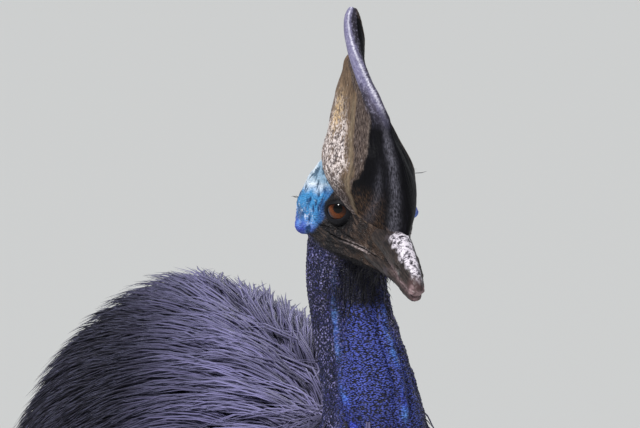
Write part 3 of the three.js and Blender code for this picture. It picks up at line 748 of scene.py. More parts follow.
def makeBodySkin():
    parts = [trunkForm.grid(60, 60), neckForm.grid(24, 48, 0.0, 0.5)]
    for side in sideSigns.values():
        parts.append(thighForm(side).grid(40, 40, 0.0, 0.94))
        parts.append(armForm(side, 0.75).grid(20, 16))
    made = joinParts("skin_body", [(fromBody(p), f) for p, f in parts])
    remeshed(made, bodySkin)
    points = toBody(coordinates(made))
    spines = {
        "neck": spineSamples(neckForm, 0.12, 0.5),
        "trunk": spineSamples(trunkForm, 0.12, 1.0),
        "thigh_right": spineSamples(thighForm(-1), 0.25, 1.0),
        "thigh_left": spineSamples(thighForm(1), 0.25, 1.0),
    }
    lie = np.zeros_like(points)
    length = np.zeros(len(points))
    total = np.zeros(len(points))
    found = {}
    for name, samples in spines.items():
        part = coatParts[name.split("_")[0]]
        apart, which = nearest(samples, points)
        weight = np.exp(-9 * apart)
        along = samples["along"][which] * part["way"]
        outward = unit(points - samples["at"][which])
        sideways = np.abs(outward[:, 0])[:, None]
        way = unit(along + part["fall"] * sideways * np.array((0, 0, -1)))
        lie += way * weight[:, None]
        length += part["length"] * weight
        total += weight
        found[name] = (which, weight, samples)
    lie = unit(lie)
    length /= total
    which, _, samples = found["trunk"]
    trunkT = samples["t"][which]
    isThigh = (found["thigh_right"][1] + found["thigh_left"][1]) / total
    rump = ramp(trunkT, 0.62, 0.9) * (1 - isThigh)
    length = length * (1 + 0.45 * rump)
    setAttributes(
        made,
        lie=lie,
        reach=length * mm,
        free=ramp(trunkT, 0.84, 0.97) * (1 - isThigh),
        rootPatch=np.column_stack([unwrapped(points, found), np.zeros(len(points))]),
    )
    x = points[:, 0]
    z = points[:, 2]
    isNeck = found["neck"][1] / total
    rest = np.clip(1 - isThigh - isNeck, 0, 1)
    back = ramp((z - 827) / 170, *coatEdges["back"])
    behind = ramp(trunkT, *coatEdges["shoulder"])
    knee = ramp(z, *coatEdges["thigh"])
    regions = {
        "thigh_right": isThigh * (x < 0) * knee,
        "thigh_left": isThigh * (x > 0) * knee,
        "neck": isNeck * ramp(z, *coatEdges["neck"]),
    }
    for name, side in sideSigns.items():
        mine = rest * (x * side >= 0)
        regions["shoulder_" + name] = mine * (1 - behind)
        rear = mine * behind
        regions["back_" + name] = rear * back
        regions["flank_" + name] = rear * (1 - back)
    setAttributes(made, **{"coat_" + name: share for name, share in regions.items()})
    return made, sorted(regions)


# Each part's patch of the unwrap: its corner, its width along the part and its height round it.
unwrapPlaces = {
    "neck": (0.02, 0.0, 0.14, 0.2),
    "trunk": (0.2, 0.0, 0.6, 0.98),
    "thigh_right": (0.82, 0.0, 0.16, 0.4),
    "thigh_left": (0.82, 0.5, 0.16, 0.4),
}


# Where each point lies on an unwrap of the body: along each part, and round it.
def unwrapped(points, found):
    uv = np.zeros((len(points), 2))
    best = np.full(len(points), -1.0)
    for name, (which, weight, samples) in found.items():
        u0, v0, width, height = unwrapPlaces[name]
        off = points - samples["at"][which]
        up, side = samples["up"][which], samples["side"][which]
        angle = np.arctan2((off * side).sum(axis=1), (off * up).sum(axis=1)) / tau + 0.5
        t = (samples["t"][which] - samples["t"][0]) / (samples["t"][-1] - samples["t"][0])
        mine = weight > best
        best[mine] = weight[mine]
        uv[mine] = np.column_stack([u0 + width * t, v0 + height * angle])[mine]
    return uv


skinBody, coatRegions = makeBodySkin()
print("body skin ready", len(skinBody.data.polygons))


# Plumage: each tuft is a few thin tapered vanes that spread from one root and follow the skin below it.
plumageSettings = {
    "density": 17500.0,
    "rise": 27.0,
    "wildness": 0.06,
    "clumping": 0.42,
    "clumpSize": 46.0,
}
tuftSettings = {"vanes": 3, "steps": 4, "half": 1.25, "thick": 0.5, "spread": 5.0, "seed": 4}


# The pattern of a tuft, lying along x: its attributes say where each vertex goes on the skin.
def makeTuft(name, settings):
    rng = np.random.default_rng(settings["seed"])
    points, faces, share, across, ridge = [], [], [], [], []
    steps = settings["steps"]
    for vane in range(settings["vanes"]):
        place = (vane - (settings["vanes"] - 1) / 2) * settings["spread"]
        length = 1 - 0.22 * rng.random()
        height = 1.1 * rng.random()
        first = len(points)
        for i in range(steps):
            s = length * i / steps
            half = settings["half"] * (0.55 + 1.1 * s) * (1 - s) ** 0.45
            centre = place * (0.15 + 0.85 * s) + 0.8 * rng.normal() * s
            for out, rise in ((half, 0.0), (0.0, settings["thick"] * (1 - 0.5 * s)), (-half, 0.0)):
                share.append(s)
                across.append((centre + out) * mm)
                ridge.append((rise + height * s) * mm)
                points.append((s * 0.1, (centre + out) * mm, rise * mm))
        share.append(length)
        across.append((place + 1.2 * rng.normal()) * mm)
        ridge.append(height * mm)
        points.append((length * 0.1, place * mm, 0))
        tip = first + 3 * steps
        faces.append((first, first + 1, first + 2))
        for i in range(steps - 1):
            a, b = first + 3 * i, first + 3 * (i + 1)
            for j in range(3):
                k = (j + 1) % 3
                faces.append((a + j, b + j, b + k, a + k))
        last = tip - 3
        for j in range(3):
            faces.append((last + j, tip, last + (j + 1) % 3))
    made = meshObject(name, points, faces)
    setAttributes(made, share=share, across=across, ridge=ridge)
    return made


plumageInputs = {
    "Geometry": "Geometry",
    "Tuft": "Object",
    "Region": "String",
    "Density": "Float",
    "Rise": "Float",
    "Wildness": "Float",
    "Clumping": "Float",
    "Clump Size": "Float",
    "Thickness": "Float",
    "Seed": "Int",
    "Material": "Material",
}
# How far a tuft's tip droops by its length, how it leaves the skin, and how deep its root is set.
tuftLie = {"droop": -0.22, "curve": 0.6, "rootDepth": 0.0015, "lengths": (0.7, 1.15), "lifts": (0.3, 1.0)}
patchSize = {"along": 0.003, "across": 0.2}  # a tuft's own place on the unwrap


def plumageTree():
    tree = bpy.data.node_groups.new("plumage", "GeometryNodeTree")
    for name, kind in plumageInputs.items():
        tree.interface.new_socket(name, in_out="INPUT", socket_type="NodeSocket" + kind)
    tree.interface.new_socket("Geometry", in_out="OUTPUT", socket_type="NodeSocketGeometry")
    given = tree.nodes.new("NodeGroupInput").outputs
    skin = given["Geometry"]

    def read(name, kind="FLOAT"):
        node = put(tree, "GeometryNodeInputNamedAttribute", {"Name": name}, data_type=kind)
        return inUse(node.outputs, "Attribute")

    def calc(operation, a, b=0.0):
        return mathOf(tree, operation, a, b)

    def vector(operation, a, b=None, scale=None):
        node = put(tree, "ShaderNodeVectorMath", operation=operation)
        for value, socket in zip((a, b, None, scale), node.inputs):
            if value is not None:
                feed(tree, value, socket)
        return node.outputs["Vector"]

    def random(low, high, shift, kind="FLOAT"):
        inputs = {"Min": low, "Max": high, "Seed": calc("ADD", given["Seed"], shift)}
        return inUse(put(tree, "FunctionNodeRandomValue", inputs, data_type=kind).outputs)

    def store(geometry, name, value, kind="FLOAT", domain="POINT"):
        inputs = {"Geometry": geometry, "Name": name, "Value": value}
        node = put(tree, "GeometryNodeStoreNamedAttribute", inputs, data_type=kind, domain=domain)
        return node.outputs["Geometry"]

    # Roots on the skin, each with the way that its tuft runs.
    density = calc("MULTIPLY", given["Density"], read(given["Region"]))
    inputs = {"Mesh": skin, "Density": density, "Seed": given["Seed"]}
    scatter = put(tree, "GeometryNodeDistributePointsOnFaces", inputs, distribute_method="RANDOM")
    position = put(tree, "GeometryNodeInputPosition").outputs[0]
    inputs = {"Vector": position, "Detail": 1.0, "Scale": calc("DIVIDE", 1.0, given["Clump Size"])}
    clumps = put(tree, "ShaderNodeTexNoise", inputs)
    bend = vector("SUBTRACT", clumps.outputs["Color"], (0.5, 0.5, 0.5))
    stray = random((-1, -1, -1), (1, 1, 1), 11, "FLOAT_VECTOR")
    way = vector("ADD", read("lie", "FLOAT_VECTOR"), vector("SCALE", bend, scale=given["Clumping"]))
    way = vector("NORMALIZE", vector("ADD", way, vector("SCALE", stray, scale=given["Wildness"])))
    points = store(scatter.outputs["Points"], "root", position, "FLOAT_VECTOR")
    points = store(points, "way", way, "FLOAT_VECTOR")
    points = store(points, "span", calc("MULTIPLY", read("reach"), random(*tuftLie["lengths"], 23)))
    points = store(points, "lift", random(*tuftLie["lifts"], 37))
    points = store(points, "tint", random(0.0, 1.0, 41))
    pattern = put(tree, "GeometryNodeObjectInfo", {"Object": given["Tuft"]}).outputs["Geometry"]
    placed = put(tree, "GeometryNodeInstanceOnPoints", {"Points": points, "Instance": pattern})
    real = put(tree, "GeometryNodeRealizeInstances", {"Geometry": placed.outputs[0]})

    # Each vertex goes along its tuft's way, is brought back over the skin, and stands off from it.
    s = read("share")
    way = read("way", "FLOAT_VECTOR")
    reached = vector("SCALE", way, scale=calc("MULTIPLY", read("span"), s))
    reached = vector("ADD", read("root", "FLOAT_VECTOR"), reached)
    drop = calc("MULTIPLY", calc("MULTIPLY", calc("POWER", s, 2.0), tuftLie["droop"]), read("span"))
    reached = vector("ADD", reached, put(tree, "ShaderNodeCombineXYZ", {"Z": drop}).outputs[0])
    normal = put(tree, "GeometryNodeInputNormal").outputs[0]
    inputs = {"Mesh": skin, "Value": normal, "Sample Position": reached}
    surface = put(tree, "GeometryNodeSampleNearestSurface", inputs, data_type="FLOAT_VECTOR")
    outward = vector("NORMALIZE", inUse(surface.outputs, "Value"))
    near = put(tree, "GeometryNodeProximity", target_element="FACES")
    tree.links.new(skin, near.inputs[0])
    tree.links.new(reached, [q for q in near.inputs if q.name in ("Sample Position", "Source Position")][0])
    sideways = vector("NORMALIZE", vector("CROSS_PRODUCT", outward, way))
    sideways = vector("SCALE", sideways, scale=calc("MULTIPLY", read("across"), given["Thickness"]))
    height = calc("MULTIPLY", given["Rise"], read("lift"))
    height = calc("MULTIPLY", height, calc("POWER", s, tuftLie["curve"]))
    height = calc("ADD", height, calc("MULTIPLY", read("ridge"), given["Thickness"]))
    height = calc("SUBTRACT", height, calc("MULTIPLY", calc("SUBTRACT", 1.0, s), tuftLie["rootDepth"]))
    offset = vector("ADD", vector("SCALE", outward, scale=height), sideways)
    inputs = {"Factor": read("free"), "A": near.outputs["Position"], "B": reached}
    followed = inUse(put(tree, "ShaderNodeMix", inputs, data_type="VECTOR").outputs)
    inputs = {"Geometry": real.outputs[0], "Position": vector("ADD", followed, offset)}
    moved = put(tree, "GeometryNodeSetPosition", inputs)
    inputs = {"X": calc("MULTIPLY", s, patchSize["along"])}
    inputs["Y"] = calc("MULTIPLY", read("across"), patchSize["across"])
    patch = put(tree, "ShaderNodeCombineXYZ", inputs).outputs[0]
    unwrap = vector("ADD", read("rootPatch", "FLOAT_VECTOR"), patch)
    mesh = store(moved.outputs[0], "OFBake", unwrap, "FLOAT2", "CORNER")
    coloured = put(tree, "GeometryNodeSetMaterial", {"Geometry": mesh, "Material": given["Material"]})
    put(tree, "NodeGroupOutput", {"Geometry": coloured.outputs[0]})
    return tree


# Painted light and shade: the coat is painted greyer over the back and shoulders, as if lit from above, and
# blacker and rougher down the flanks, the rump and the thighs, as if in shade.
backShade = {"aside": -0.934, "behind": -0.358, "ragged": 0.05, "heights": (0.72, 0.9), "below": -0.12}


def plumageMaterial():
    sheen = {"Sheen_Weight": 0.14, "Sheen_Roughness": 0.35, "Sheen_Tint": rgb(0.55, 0.55, 0.9)}
    material, tree, shader = newMaterial("plumage", 0.45, Specular_IOR_Level=0.2, **sheen)
    place = objectPoint(tree)
    big = noiseOf(tree, place, 9.0)
    tone = laid(tree, rgb(0.003, 0.0028, 0.005), rgb(0.013, 0.012, 0.024), big, (0.35, 0.65))
    tone = laid(tree, tone, rgb(0.14, 0.128, 0.25), "tint", (0.45, 1.0))
    # Painted sheen: lavender towards each tuft's tip.
    tone = laid(tree, tone, rgb(0.33, 0.305, 0.56), most=0.7, mask="share")
    parts = put(tree, "ShaderNodeSeparateXYZ", {"Vector": place}).outputs
    back = mathOf(tree, "MULTIPLY", mathOf(tree, "ABSOLUTE", parts["X"]), backShade["aside"])
    back = mathOf(tree, "ADD", back, mathOf(tree, "MULTIPLY", parts["Y"], backShade["behind"]))
    back = mathOf(tree, "ADD", back, mathOf(tree, "MULTIPLY", big, backShade["ragged"]))
    low = span(tree, parts["Z"], *backShade["heights"], backShade["below"], 0.0)
    back = mathOf(tree, "ADD", back, low)
    # Painted shade: near black and rougher where the value falls, down the flanks, the rump and the thighs.
    tone = laid(tree, tone, rgb(0.003, 0.0025, 0.004), back, (-0.1, 0.02), 0.96, 0.0)
    setGiven(tree, shader, Base_Color=tone, Roughness=span(tree, back, -0.09, 0.01, 0.85, 0.45))
    return material


def inputId(tree, name):
    return [i for i in tree.interface.items_tree if i.name == name and i.in_out == "INPUT"][0].identifier


def growCoat(skin, regions, tuft, material, settings, prefix="plumage_", firstSeed=3):
    tree = bpy.data.node_groups.get("plumage") or plumageTree()
    share = 1.0
    for count, region in enumerate(regions):
        holder = bpy.data.objects.new(prefix + region, skin.data.copy())
        bpy.context.scene.collection.objects.link(holder)
        modifier = holder.modifiers.new("plumage", "NODES")
        modifier.node_group = tree
        values = {
            "Tuft": tuft,
            "Region": "coat_" + region,
            "Density": settings["density"] * share,
            "Rise": settings["rise"] * mm,
            "Wildness": settings["wildness"],
            "Clumping": settings["clumping"],
            "Clump Size": settings["clumpSize"] * mm,
            "Thickness": 1.0,
            "Seed": count * 7 + firstSeed,
            "Material": material,
        }
        for name, value in values.items():
            modifier[inputId(tree, name)] = value
        finishPiece(applied(holder), material, "plumage")
        triangles = sum(len(p.vertices) - 2 for p in holder.data.polygons)
        print(holder.name, triangles, [uv.name for uv in holder.data.uv_layers])
    bpy.data.objects.remove(tuft)


growCoat(skinBody, coatRegions, makeTuft("tuft", tuftSettings), plumageMaterial(), plumageSettings)
darkSkin = newMaterial("skin under plumage", 0.8, Base_Color=rgb(0.006, 0.006, 0.008))[0]
finishPiece(skinBody, darkSkin, "plumage", "torso", "neck_lower", "thigh_right", "thigh_left")
print("plumage ready")


# Head and neck skin. Lines on the side of the head run forward, by y and z in the head's frame.
headSkin = {"voxel": 1.9, "quickVoxel": 3.04, "smoothing": 4, "subdivisions": 1, "kept": 0.57}
eyeSizes = {"at": (22.0, 3.0, -4.2), "radius": 13, "facing": (0.6, -0.72, 0.32), "iris": 9.8, "pupil": 3.9}
# The lids' ring has its own facing. Sizes from its middle, in its own plane: outer edge and opening.
lidSizes = {"facing": (0.8, -0.6, 0.0), "outer": (14.0, 9.6, 13.2), "opening": (8.6, 6.9, 5.4), "lift": 0.5}
faceLines = {
    "mouth": [
        (8, -22.5), (-5, -24.5), (-22, -24.3), (-35, -25.6), (-51, -28.8), (-67, -32.2), (-78, -34.9),
    ],
    "crease": [(16, -20), (-1, -19.3), (-17, -20.3), (-29, -22)],
    "jaw": [(8, -42), (-10, -40.5), (-24, -39.6), (-38, -42), (-52, -43)],
    "cheek": [(26, -40), (8, -33), (-10, -31), (-30, -33)],
}
blueFront = [(-25, 19), (-20, 13), (-15, 10), (-8, 9.5), (0, 10), (8, 7), (12, 4), (17, 0.5), (31, -4)]
blueBottom = [(8, -18), (13, -22), (20, -27), (29, -32), (40, -35), (60, -36)]
neckTop = [(-60, -66), (-20, -56), (5, -48), (20, -41), (30, -36), (60, -34)]
# Long folds of loose skin down the neck, by share of its spine and angle from the front.
neckFolds = {
    "outer": [(0.95, -36), (0.86, -39), (0.75, -43), (0.64, -49), (0.53, -55), (0.46, -46), (0.41, -38)],
    "inner": [(0.86, 40), (0.78, 36), (0.69, 28), (0.62, 22), (0.58, 24), (0.51, 23), (0.44, 15)],
    "side": [(0.88, 66), (0.74, 60), (0.6, 56), (0.48, 62)],
}
throatLine = [(0.93, 2), (0.84, 3), (0.76, -2), (0.68, -8)]
# How bright each fold is by share of the neck's spine.
foldGlow = {
    "outer": [
        (0.9, 0.1), (0.78, 0.3), (0.7, 0.5), (0.62, 0.35), (0.55, 0.1),
        (0.51, 1.0), (0.48, 0.3), (0.44, 1.0), (0.41, 0.6),
    ],
    "inner": [
        (0.86, 0.1), (0.75, 0.35), (0.66, 0.5), (0.62, 1.0),
        (0.58, 0.25), (0.52, 0.5), (0.47, 1.0), (0.44, 0.8),
    ],
}
# Lines on the side of the head: how full the skin is over and under each, how deep it is cut and how wide.
lineShapes = {
    "mouth": (1.6, 1.5, 2.8, 0.75),
    "crease": (1.3, 1.2, 1.5, 0.8),
    "jaw": (1.9, -2.6, 0.0, 1.0),
    "cheek": (0.6, 0.5, 0.7, 1.0),
}
# Bulges and hollows on either side: place, reach and rise. The ear's is fuller on the left.
earBulges = {-1: ((50, 36, -28), 8, 6.4), 1: ((50, 36, -31), 8, 9.5)}
headBulges = [
    ((46, 24, -25), 7, 2.2),
    ((42, 32, -40), 7, -3.0),
    ((27, 2, 13), 10, 4.0),
    ((44, 46, -10), 10, 2.0),
]


def eyeOf(side, settings=eyeSizes):
    at = np.array(eyeSizes["at"]) * (side, 1, 1)
    facing = unit(np.array(settings["facing"]) * (side, 1, 1))
    return at, facing


# The lids' plane: across runs back along the head, above runs up it.
def lidPlane(side):
    at, facing = eyeOf(side, lidSizes)
    upright = np.array((0, 0.36, 0.93))
    above = unit(upright - facing * (facing @ upright))
    across = np.cross(above, facing) * side
    return at, facing, across, above


# The ring's outer edge and its opening at each angle, from across to above.
def lidReach(angle):
    s = np.sin(angle)
    made = []
    for wide, high, low in (lidSizes["outer"], lidSizes["opening"]):
        tall = np.where(s > 0, high, low)
        made.append(1 / np.hypot(np.cos(angle) / wide, s / tall))
    return made


def onNeck(line):
    t, angle = np.array(line, float).T
    fine = np.linspace(0, 1, 24)
    places = np.linspace(0, 1, len(t))
    return neckForm.point(np.interp(fine, places, t), np.radians(np.interp(fine, places, angle)))


def makeHeadSkin():
    headPoints, headFaces = headForm.grid(60, 72)
    neckPoints, neckFaces = neckForm.grid(90, 72, 0.2, 1.0)
    parts = [(fromHead(headPoints), headFaces), (fromBody(neckPoints), neckFaces)]
    made = remeshed(joinParts("skin_head_and_neck", parts), headSkin)
    shapeNeck(made)
    shapeHead(made)
    thinned = made.modifiers.new("thinned", "DECIMATE")
    thinned.ratio = headSkin["kept"]
    return applied(made)


def shapeNeck(made):
    points = toBody(coordinates(made))
    normals = normalsOf(made)
    low = ramp(toHead(fromBody(points))[:, 2], -36, -50)
    rise = np.zeros(len(points))
    glow = np.zeros(len(points))
    steps = np.linspace(0, 1, 200)
    t = np.interp(points[:, 2], spline(neckForm.places, steps)[:, 2], steps)
    for name, line in neckFolds.items():
        apart, share, _ = besideLine(points, onNeck(line))
        fade = ramp(share, 0.0, 0.12) * ramp(share, 1.0, 0.9)
        swing = 0.7 + 0.3 * np.sin(share * 31)
        strength = 0.45 if name == "side" else 1
        rise += strength * fade * (3.0 * swing * ball(apart, 3.4) - 1.3 * ball(apart - 7.5, 2.2))
        if name in foldGlow:
            bright = column(foldGlow[name], t)
            glow = np.maximum(glow, fade * ball(apart, 1.8 + 1.4 * bright) * bright)
    apart, share, _ = besideLine(points, onNeck(throatLine))
    throat = np.clip(1.35 * ramp(share, 1.0, 0.6) * ball(apart, 21), 0, 1)
    around = np.arctan2(points[:, 0] + 12, -points[:, 1] - 345)
    turn = np.abs(np.degrees(around))
    stretched = np.column_stack([around * 34, points[:, 2] * 0.22, 0 * around])
    flank = 0.12 + 0.88 * ramp(turn, 22, 52)
    rise += low * 0.9 * (1 - 2 * np.abs(grain(stretched, 0.2, 5)))
    rise += low * throat * grain(stretched, 0.34, 31)
    beads = pebbles(points * (1, 1, 0.7) + 0.9 * grain(points, 0.35, 2)[:, None], 0.46)
    rise += low * (0.4 + 0.55 * flank) * beads * (1 - 0.7 * throat)
    moveTo(made, fromBody(points + normals * rise[:, None]))
    behind = ramp(turn, 60, 120)
    # Painted shade on the neck's foot, reaching higher at the back, where it goes in under the plumage.
    base = ramp(points[:, 2] - 16 * behind + 3 * grain(points, 0.08), 944, 928)
    nape = ramp(turn, 118, 150) * ramp(points[:, 2] + 6 * grain(points, 0.05, 3), 1030, 1008)
    setAttributes(made, glow=glow, flank=flank, throat=throat, bead=beads, base=base, nape=nape)


def shapeHead(made):
    points = toHead(coordinates(made))
    normals = normalsOf(made) @ headTurn
    x, y, z = np.abs(points[:, 0]), points[:, 1], points[:, 2]
    flat = points[:, 1:]
    onSide = ramp(x, 3, 7)
    rise = np.zeros(len(points))
    ragged = grain(points, 0.16, 3) * 1.6 + grain(points, 0.5, 9) * 0.7
    ahead = y - column(blueFront, z)
    below = z - column(blueBottom, y)
    soft = 1.2 + 9 * ramp(y, 36, 58)
    blue = ramp(ahead + ragged, -1.2, 1.2) * ramp((below + ragged * 0.6) / soft, -1, 1)
    neck = ramp(column(neckTop, y) - z + 2.5 * ragged, -3, 5)

    # Lips, the crease over them, and the edge of the jaw.
    # The cut lines get painted shade along them.
    lip = np.zeros(len(points))
    # The mouth's edges get painted glints along them.
    lipEdge = np.zeros(len(points))
    for name, (over, under, cut, wide) in lineShapes.items():
        apart, share, height = besideLine(flat, faceLines[name])
        fade = onSide * ramp(share, 0.0, 0.08) * (1 if name == "mouth" else ramp(share, 1.0, 0.9))
        full = over * ball(height - 2.3, 1.6) + under * ball(height + 2.3, 1.6)
        rise += fade * (full - cut * ball(apart, wide))
        lip = np.maximum(lip, fade * ball(apart, wide) * min(1, cut))
        if name == "mouth":
            lipEdge = fade * ball(np.abs(height) - 1.5, 0.6) * ramp(share, 0.15, 0.45)

    # The bulge round each ear, the brow, and the wrinkled blue skin.
    for side in sideSigns.values():
        for at, reach, amount in [earBulges[side]] + headBulges:
            apart = np.linalg.norm(points - np.array(at) * (side, 1, 1), axis=1)
            rise += amount * ball(apart, reach)
    warped = points * (1, 1.25, 0.55) + 1.6 * grain(points, 0.1, 6)[:, None]
    folds = 1 - 2.4 * np.abs(grain(warped, 0.1, 14))
    creases = 1 - 2.2 * np.abs(grain(warped, 0.27, 21))
    rise += blue * (1.1 * np.clip(folds, -0.4, 1) + 0.55 * creases + 0.3 * grain(points, 0.62, 8))
    bare = (1 - blue) * (1 - neck)
    streak = np.column_stack([-0.53 * y + 0.85 * z, 0.2 * (-0.85 * y - 0.53 * z), 0.3 * x])
    worn = 0.55 * grain(streak, 0.42, 2) + 0.4 * pebbles(points, 0.42)
    rise += bare * (worn - 0.35 * np.clip(-folds, 0, 1))
    points = points + normals * rise[:, None]

    # The skin goes in under the lids, and stands up to them all round.
    dark = np.zeros(len(points))
    rims = np.zeros(len(points))
    for side in sideSigns.values():
        at, facing, across, above = lidPlane(side)
        off = points - at
        depth = off @ facing
        flatOff = off - depth[:, None] * facing
        apart = np.linalg.norm(flatOff, axis=1)
        outer = lidReach(np.arctan2(flatOff @ above, flatOff @ across))[0]
        share = apart / outer
        sink = (depth > 0) * ramp(share, 0.92, 0.72)
        points = points - facing * (sink * np.clip(depth - 4, 0, 20))[:, None]
        near = (depth > 0) * (apart < 30)
        level = np.sqrt(np.clip(eyeSizes["radius"] ** 2 - (outer * 0.82) ** 2, 9, 200)) - 0.5
        pull = near * ramp(share, 1.5, 1.0) * (share > 0.8)
        points = points + facing * (pull * np.clip(level - depth, -4, 4) * 0.8)[:, None]
        rim = near * ball(share - 1.2, 0.1)
        points = points + facing * (0.7 * rim)[:, None]
        dark = np.maximum(dark, near * ramp(share + 0.03 * ragged, 1.14, 1.04))
        rear = 1 - ramp(flatOff @ across, 9, -3)
        # Painted reflection: a thin glint on the skin round the rear of the lids' ring.
        rims += rim * rear * ramp(flatOff @ above, 7, 2) * ramp(flatOff @ above, -7, -3)
    moveTo(made, fromHead(points))
    # Painted shade under the jaw.
    underJaw = ramp(column(faceLines["jaw"], y) - z, 1.5, 4.5) * ramp(y, 14, 4) * ramp(y, -62, -50)
    setAttributes(
        made,
        blue=blue,
        neckShare=neck,
        lip=lip,
        lipEdge=lipEdge,
        wrinkle=np.clip(0.5 * creases + 0.5 * folds, 0, 1),
        pale=ramp(z + 0.25 * y + 2.2 * ragged, 8, 17),
        socket=dark,
        rim=rims,
        fringe=ramp(ahead, 9, 2) * ramp(z, 6, -2),
        hollow=ramp(y, 38, 50) * ramp(z, -22, -14) * ramp(z, 8, 0),
        upperSide=ramp(z, -26, -17) * ramp(z, -6, -14) * ramp(y, 14, 26),
        underJaw=underJaw,
        brown=ramp(y + 0.35 * z, -8, -46) * (0.6 + 0.4 * ramp(z, -45, -30)),
        bulge=ramp(z, -15, -24) * ramp(y, 12, 22),
        streak=streak,
    )


def skinMaterial():
    material, tree, shader = newMaterial("head and neck skin", 0.5, Specular_IOR_Level=0.3)
    place = objectPoint(tree)
    cells = cellsOf(tree, place, 900.0)
    beads = cellsOf(tree, objectPoint(tree, (1, 1, 0.75)), 560.0)
    small = cellsOf(tree, objectPoint(tree, (0.6, 0.6, 1.5)), 760.0)
    patches = noiseOf(tree, place, 45.0, 6)
    broad = noiseOf(tree, place, 16.0)
    broken = noiseOf(tree, place, 90.0, 5)
    fine = noiseOf(tree, place, 520.0)
    chips = noiseOf(tree, place, 330.0, 6, 0.7)

    # Deep blue neck: painted shade, near black, between the bumps, painted light, paler, on their tops and in
    # fine specks, bright along the folds.
    top = laid(tree, rgb(0.038, 0.05, 0.27), rgb(0.1, 0.135, 0.58), broad, (0.35, 0.62))
    neck = laid(tree, rgb(0.002, 0.002, 0.012), top, small, (0.62, 0.22))
    neck = laid(tree, neck, rgb(0.2, 0.25, 0.66), chips, (0.56, 0.74), most=0.55)
    flankTop = laid(tree, rgb(0.075, 0.07, 0.27), rgb(0.34, 0.31, 0.6), patches, (0.38, 0.6))
    # The flank too has painted shade between its beads and painted light on their tops.
    flank = laid(tree, rgb(0.003, 0.003, 0.012), flankTop, beads, (0.5, 0.2))
    flank = laid(tree, flank, rgb(0.003, 0.003, 0.012), "bead", (0.35, 0.1), most=0.7)
    neck = laid(tree, neck, flank, "flank", (0.2, 0.9), most=0.85)
    cobalt = laid(tree, rgb(0.06, 0.1, 0.8), rgb(0.16, 0.42, 1.0), broad, (0.42, 0.62))
    cobalt = laid(tree, cobalt, rgb(0.008, 0.01, 0.16), small, (0.35, 0.65), most=0.8)
    neck = laid(tree, neck, cobalt, broken, (0.38, 0.58), least=0.1, mask="glow")
    neck = laid(tree, neck, rgb(0.004, 0.0035, 0.01), most=0.96, mask="throat")
    nape = laid(tree, rgb(0.4, 0.04, 0.02), rgb(0.12, 0.012, 0.02), small, (0.3, 0.6))
    neck = laid(tree, neck, nape, mask="nape")
    # Painted shade: near black at the neck's foot, under the plumage.
    neck = laid(tree, neck, rgb(0.006, 0.006, 0.009), mask="base")

    # Pale at the crown, azure behind the eye, more violet on the bulge, with painted shade in the wrinkles.
    face = laid(tree, rgb(0.015, 0.1, 0.31), rgb(0.05, 0.27, 0.58), patches, (0.36, 0.6))
    # Painted shade at the back of the head, above the ear bulge.
    face = laid(tree, face, rgb(0.012, 0.07, 0.2), most=0.7, mask="hollow")
    face = laid(tree, face, rgb(0.01, 0.045, 0.2), most=0.75, mask="fringe")
    crown = laid(tree, rgb(0.24, 0.38, 0.52), rgb(0.76, 0.84, 0.92), patches, (0.36, 0.58))
    face = laid(tree, face, crown, mask="pale")
    bulge = laid(tree, rgb(0.045, 0.075, 0.46), rgb(0.16, 0.36, 0.84), patches, (0.4, 0.66))
    face = laid(tree, face, bulge, mask="bulge")
    # Painted highlight: pale flecks on the top of the ear bulge.
    face = laid(tree, face, rgb(0.6, 0.68, 0.9), chips, (0.45, 0.62), mask="upperSide")
    # Painted shade in the wrinkles, paler under the crown.
    crease = laid(tree, rgb(0.006, 0.045, 0.15), rgb(0.05, 0.1, 0.16), mask="pale")
    face = laid(tree, face, crease, "wrinkle", (0.6, 0.12), most=0.95)
    # Painted glints: pale flecks all over the blue skin.
    face = laid(tree, face, rgb(0.42, 0.62, 0.76), chips, (0.56, 0.7), most=0.6)

    # Dark skin before the eye and round the mouth, brown towards the bill.
    streaks = noiseOf(tree, attributeOf(tree, "streak", "Vector"), 0.5, 5)
    bare = laid(tree, rgb(0.006, 0.005, 0.007), rgb(0.036, 0.02, 0.013), mask="brown")
    bare = laid(tree, bare, rgb(0.15, 0.1, 0.075), streaks, (0.5, 0.7), most=0.6)
    bare = laid(tree, bare, rgb(0.004, 0.003, 0.004), streaks, (0.48, 0.34), most=0.9)
    # Painted shade in the wrinkles of the bare skin.
    bare = laid(tree, bare, rgb(0.003, 0.003, 0.004), "wrinkle", (0.4, 0.1), most=0.7)
    bare = laid(tree, bare, rgb(0.12, 0.1, 0.1), fine, (0.56, 0.72), most=0.35)
    # Painted highlight: pale glints along the edges of the mouth.
    bare = laid(tree, bare, rgb(0.6, 0.5, 0.5), chips, (0.4, 0.6), 0.15, 0.9, "lipEdge")
    # Painted shade, near black, under the jaw.
    bare = laid(tree, bare, rgb(0.004, 0.003, 0.005), mask="underJaw")
    tone = laid(tree, bare, neck, mask="neckShare")
    tone = laid(tree, tone, face, mask="blue")
    tone = laid(tree, tone, rgb(0.005, 0.004, 0.005), mask="socket")
    # Painted reflection: a thin blue glint round the rear of the lids' ring.
    tone = laid(tree, tone, rgb(0.02, 0.07, 0.22), most=0.5, mask="rim")
    # Painted shade, near black, along the mouth and the lines cut beside it.
    tone = laid(tree, tone, rgb(0.004, 0.003, 0.004), mask="lip")
    setGiven(tree, shader, Base_Color=tone, Roughness=span(tree, fine, 0.3, 0.7, 0.36, 0.6))
    first = bumped(tree, shader, mathOf(tree, "SUBTRACT", 1.0, small), 0.8, 0.0014)
    bumped(tree, shader, mathOf(tree, "ADD", cells, chips), 0.35, 0.0006, first)
    return material


skinHead = makeHeadSkin()
finishPiece(skinHead, skinMaterial(), "head_skin", "head", "neck_upper", "neck_middle")
print("head and neck skin ready", len(skinHead.data.polygons))


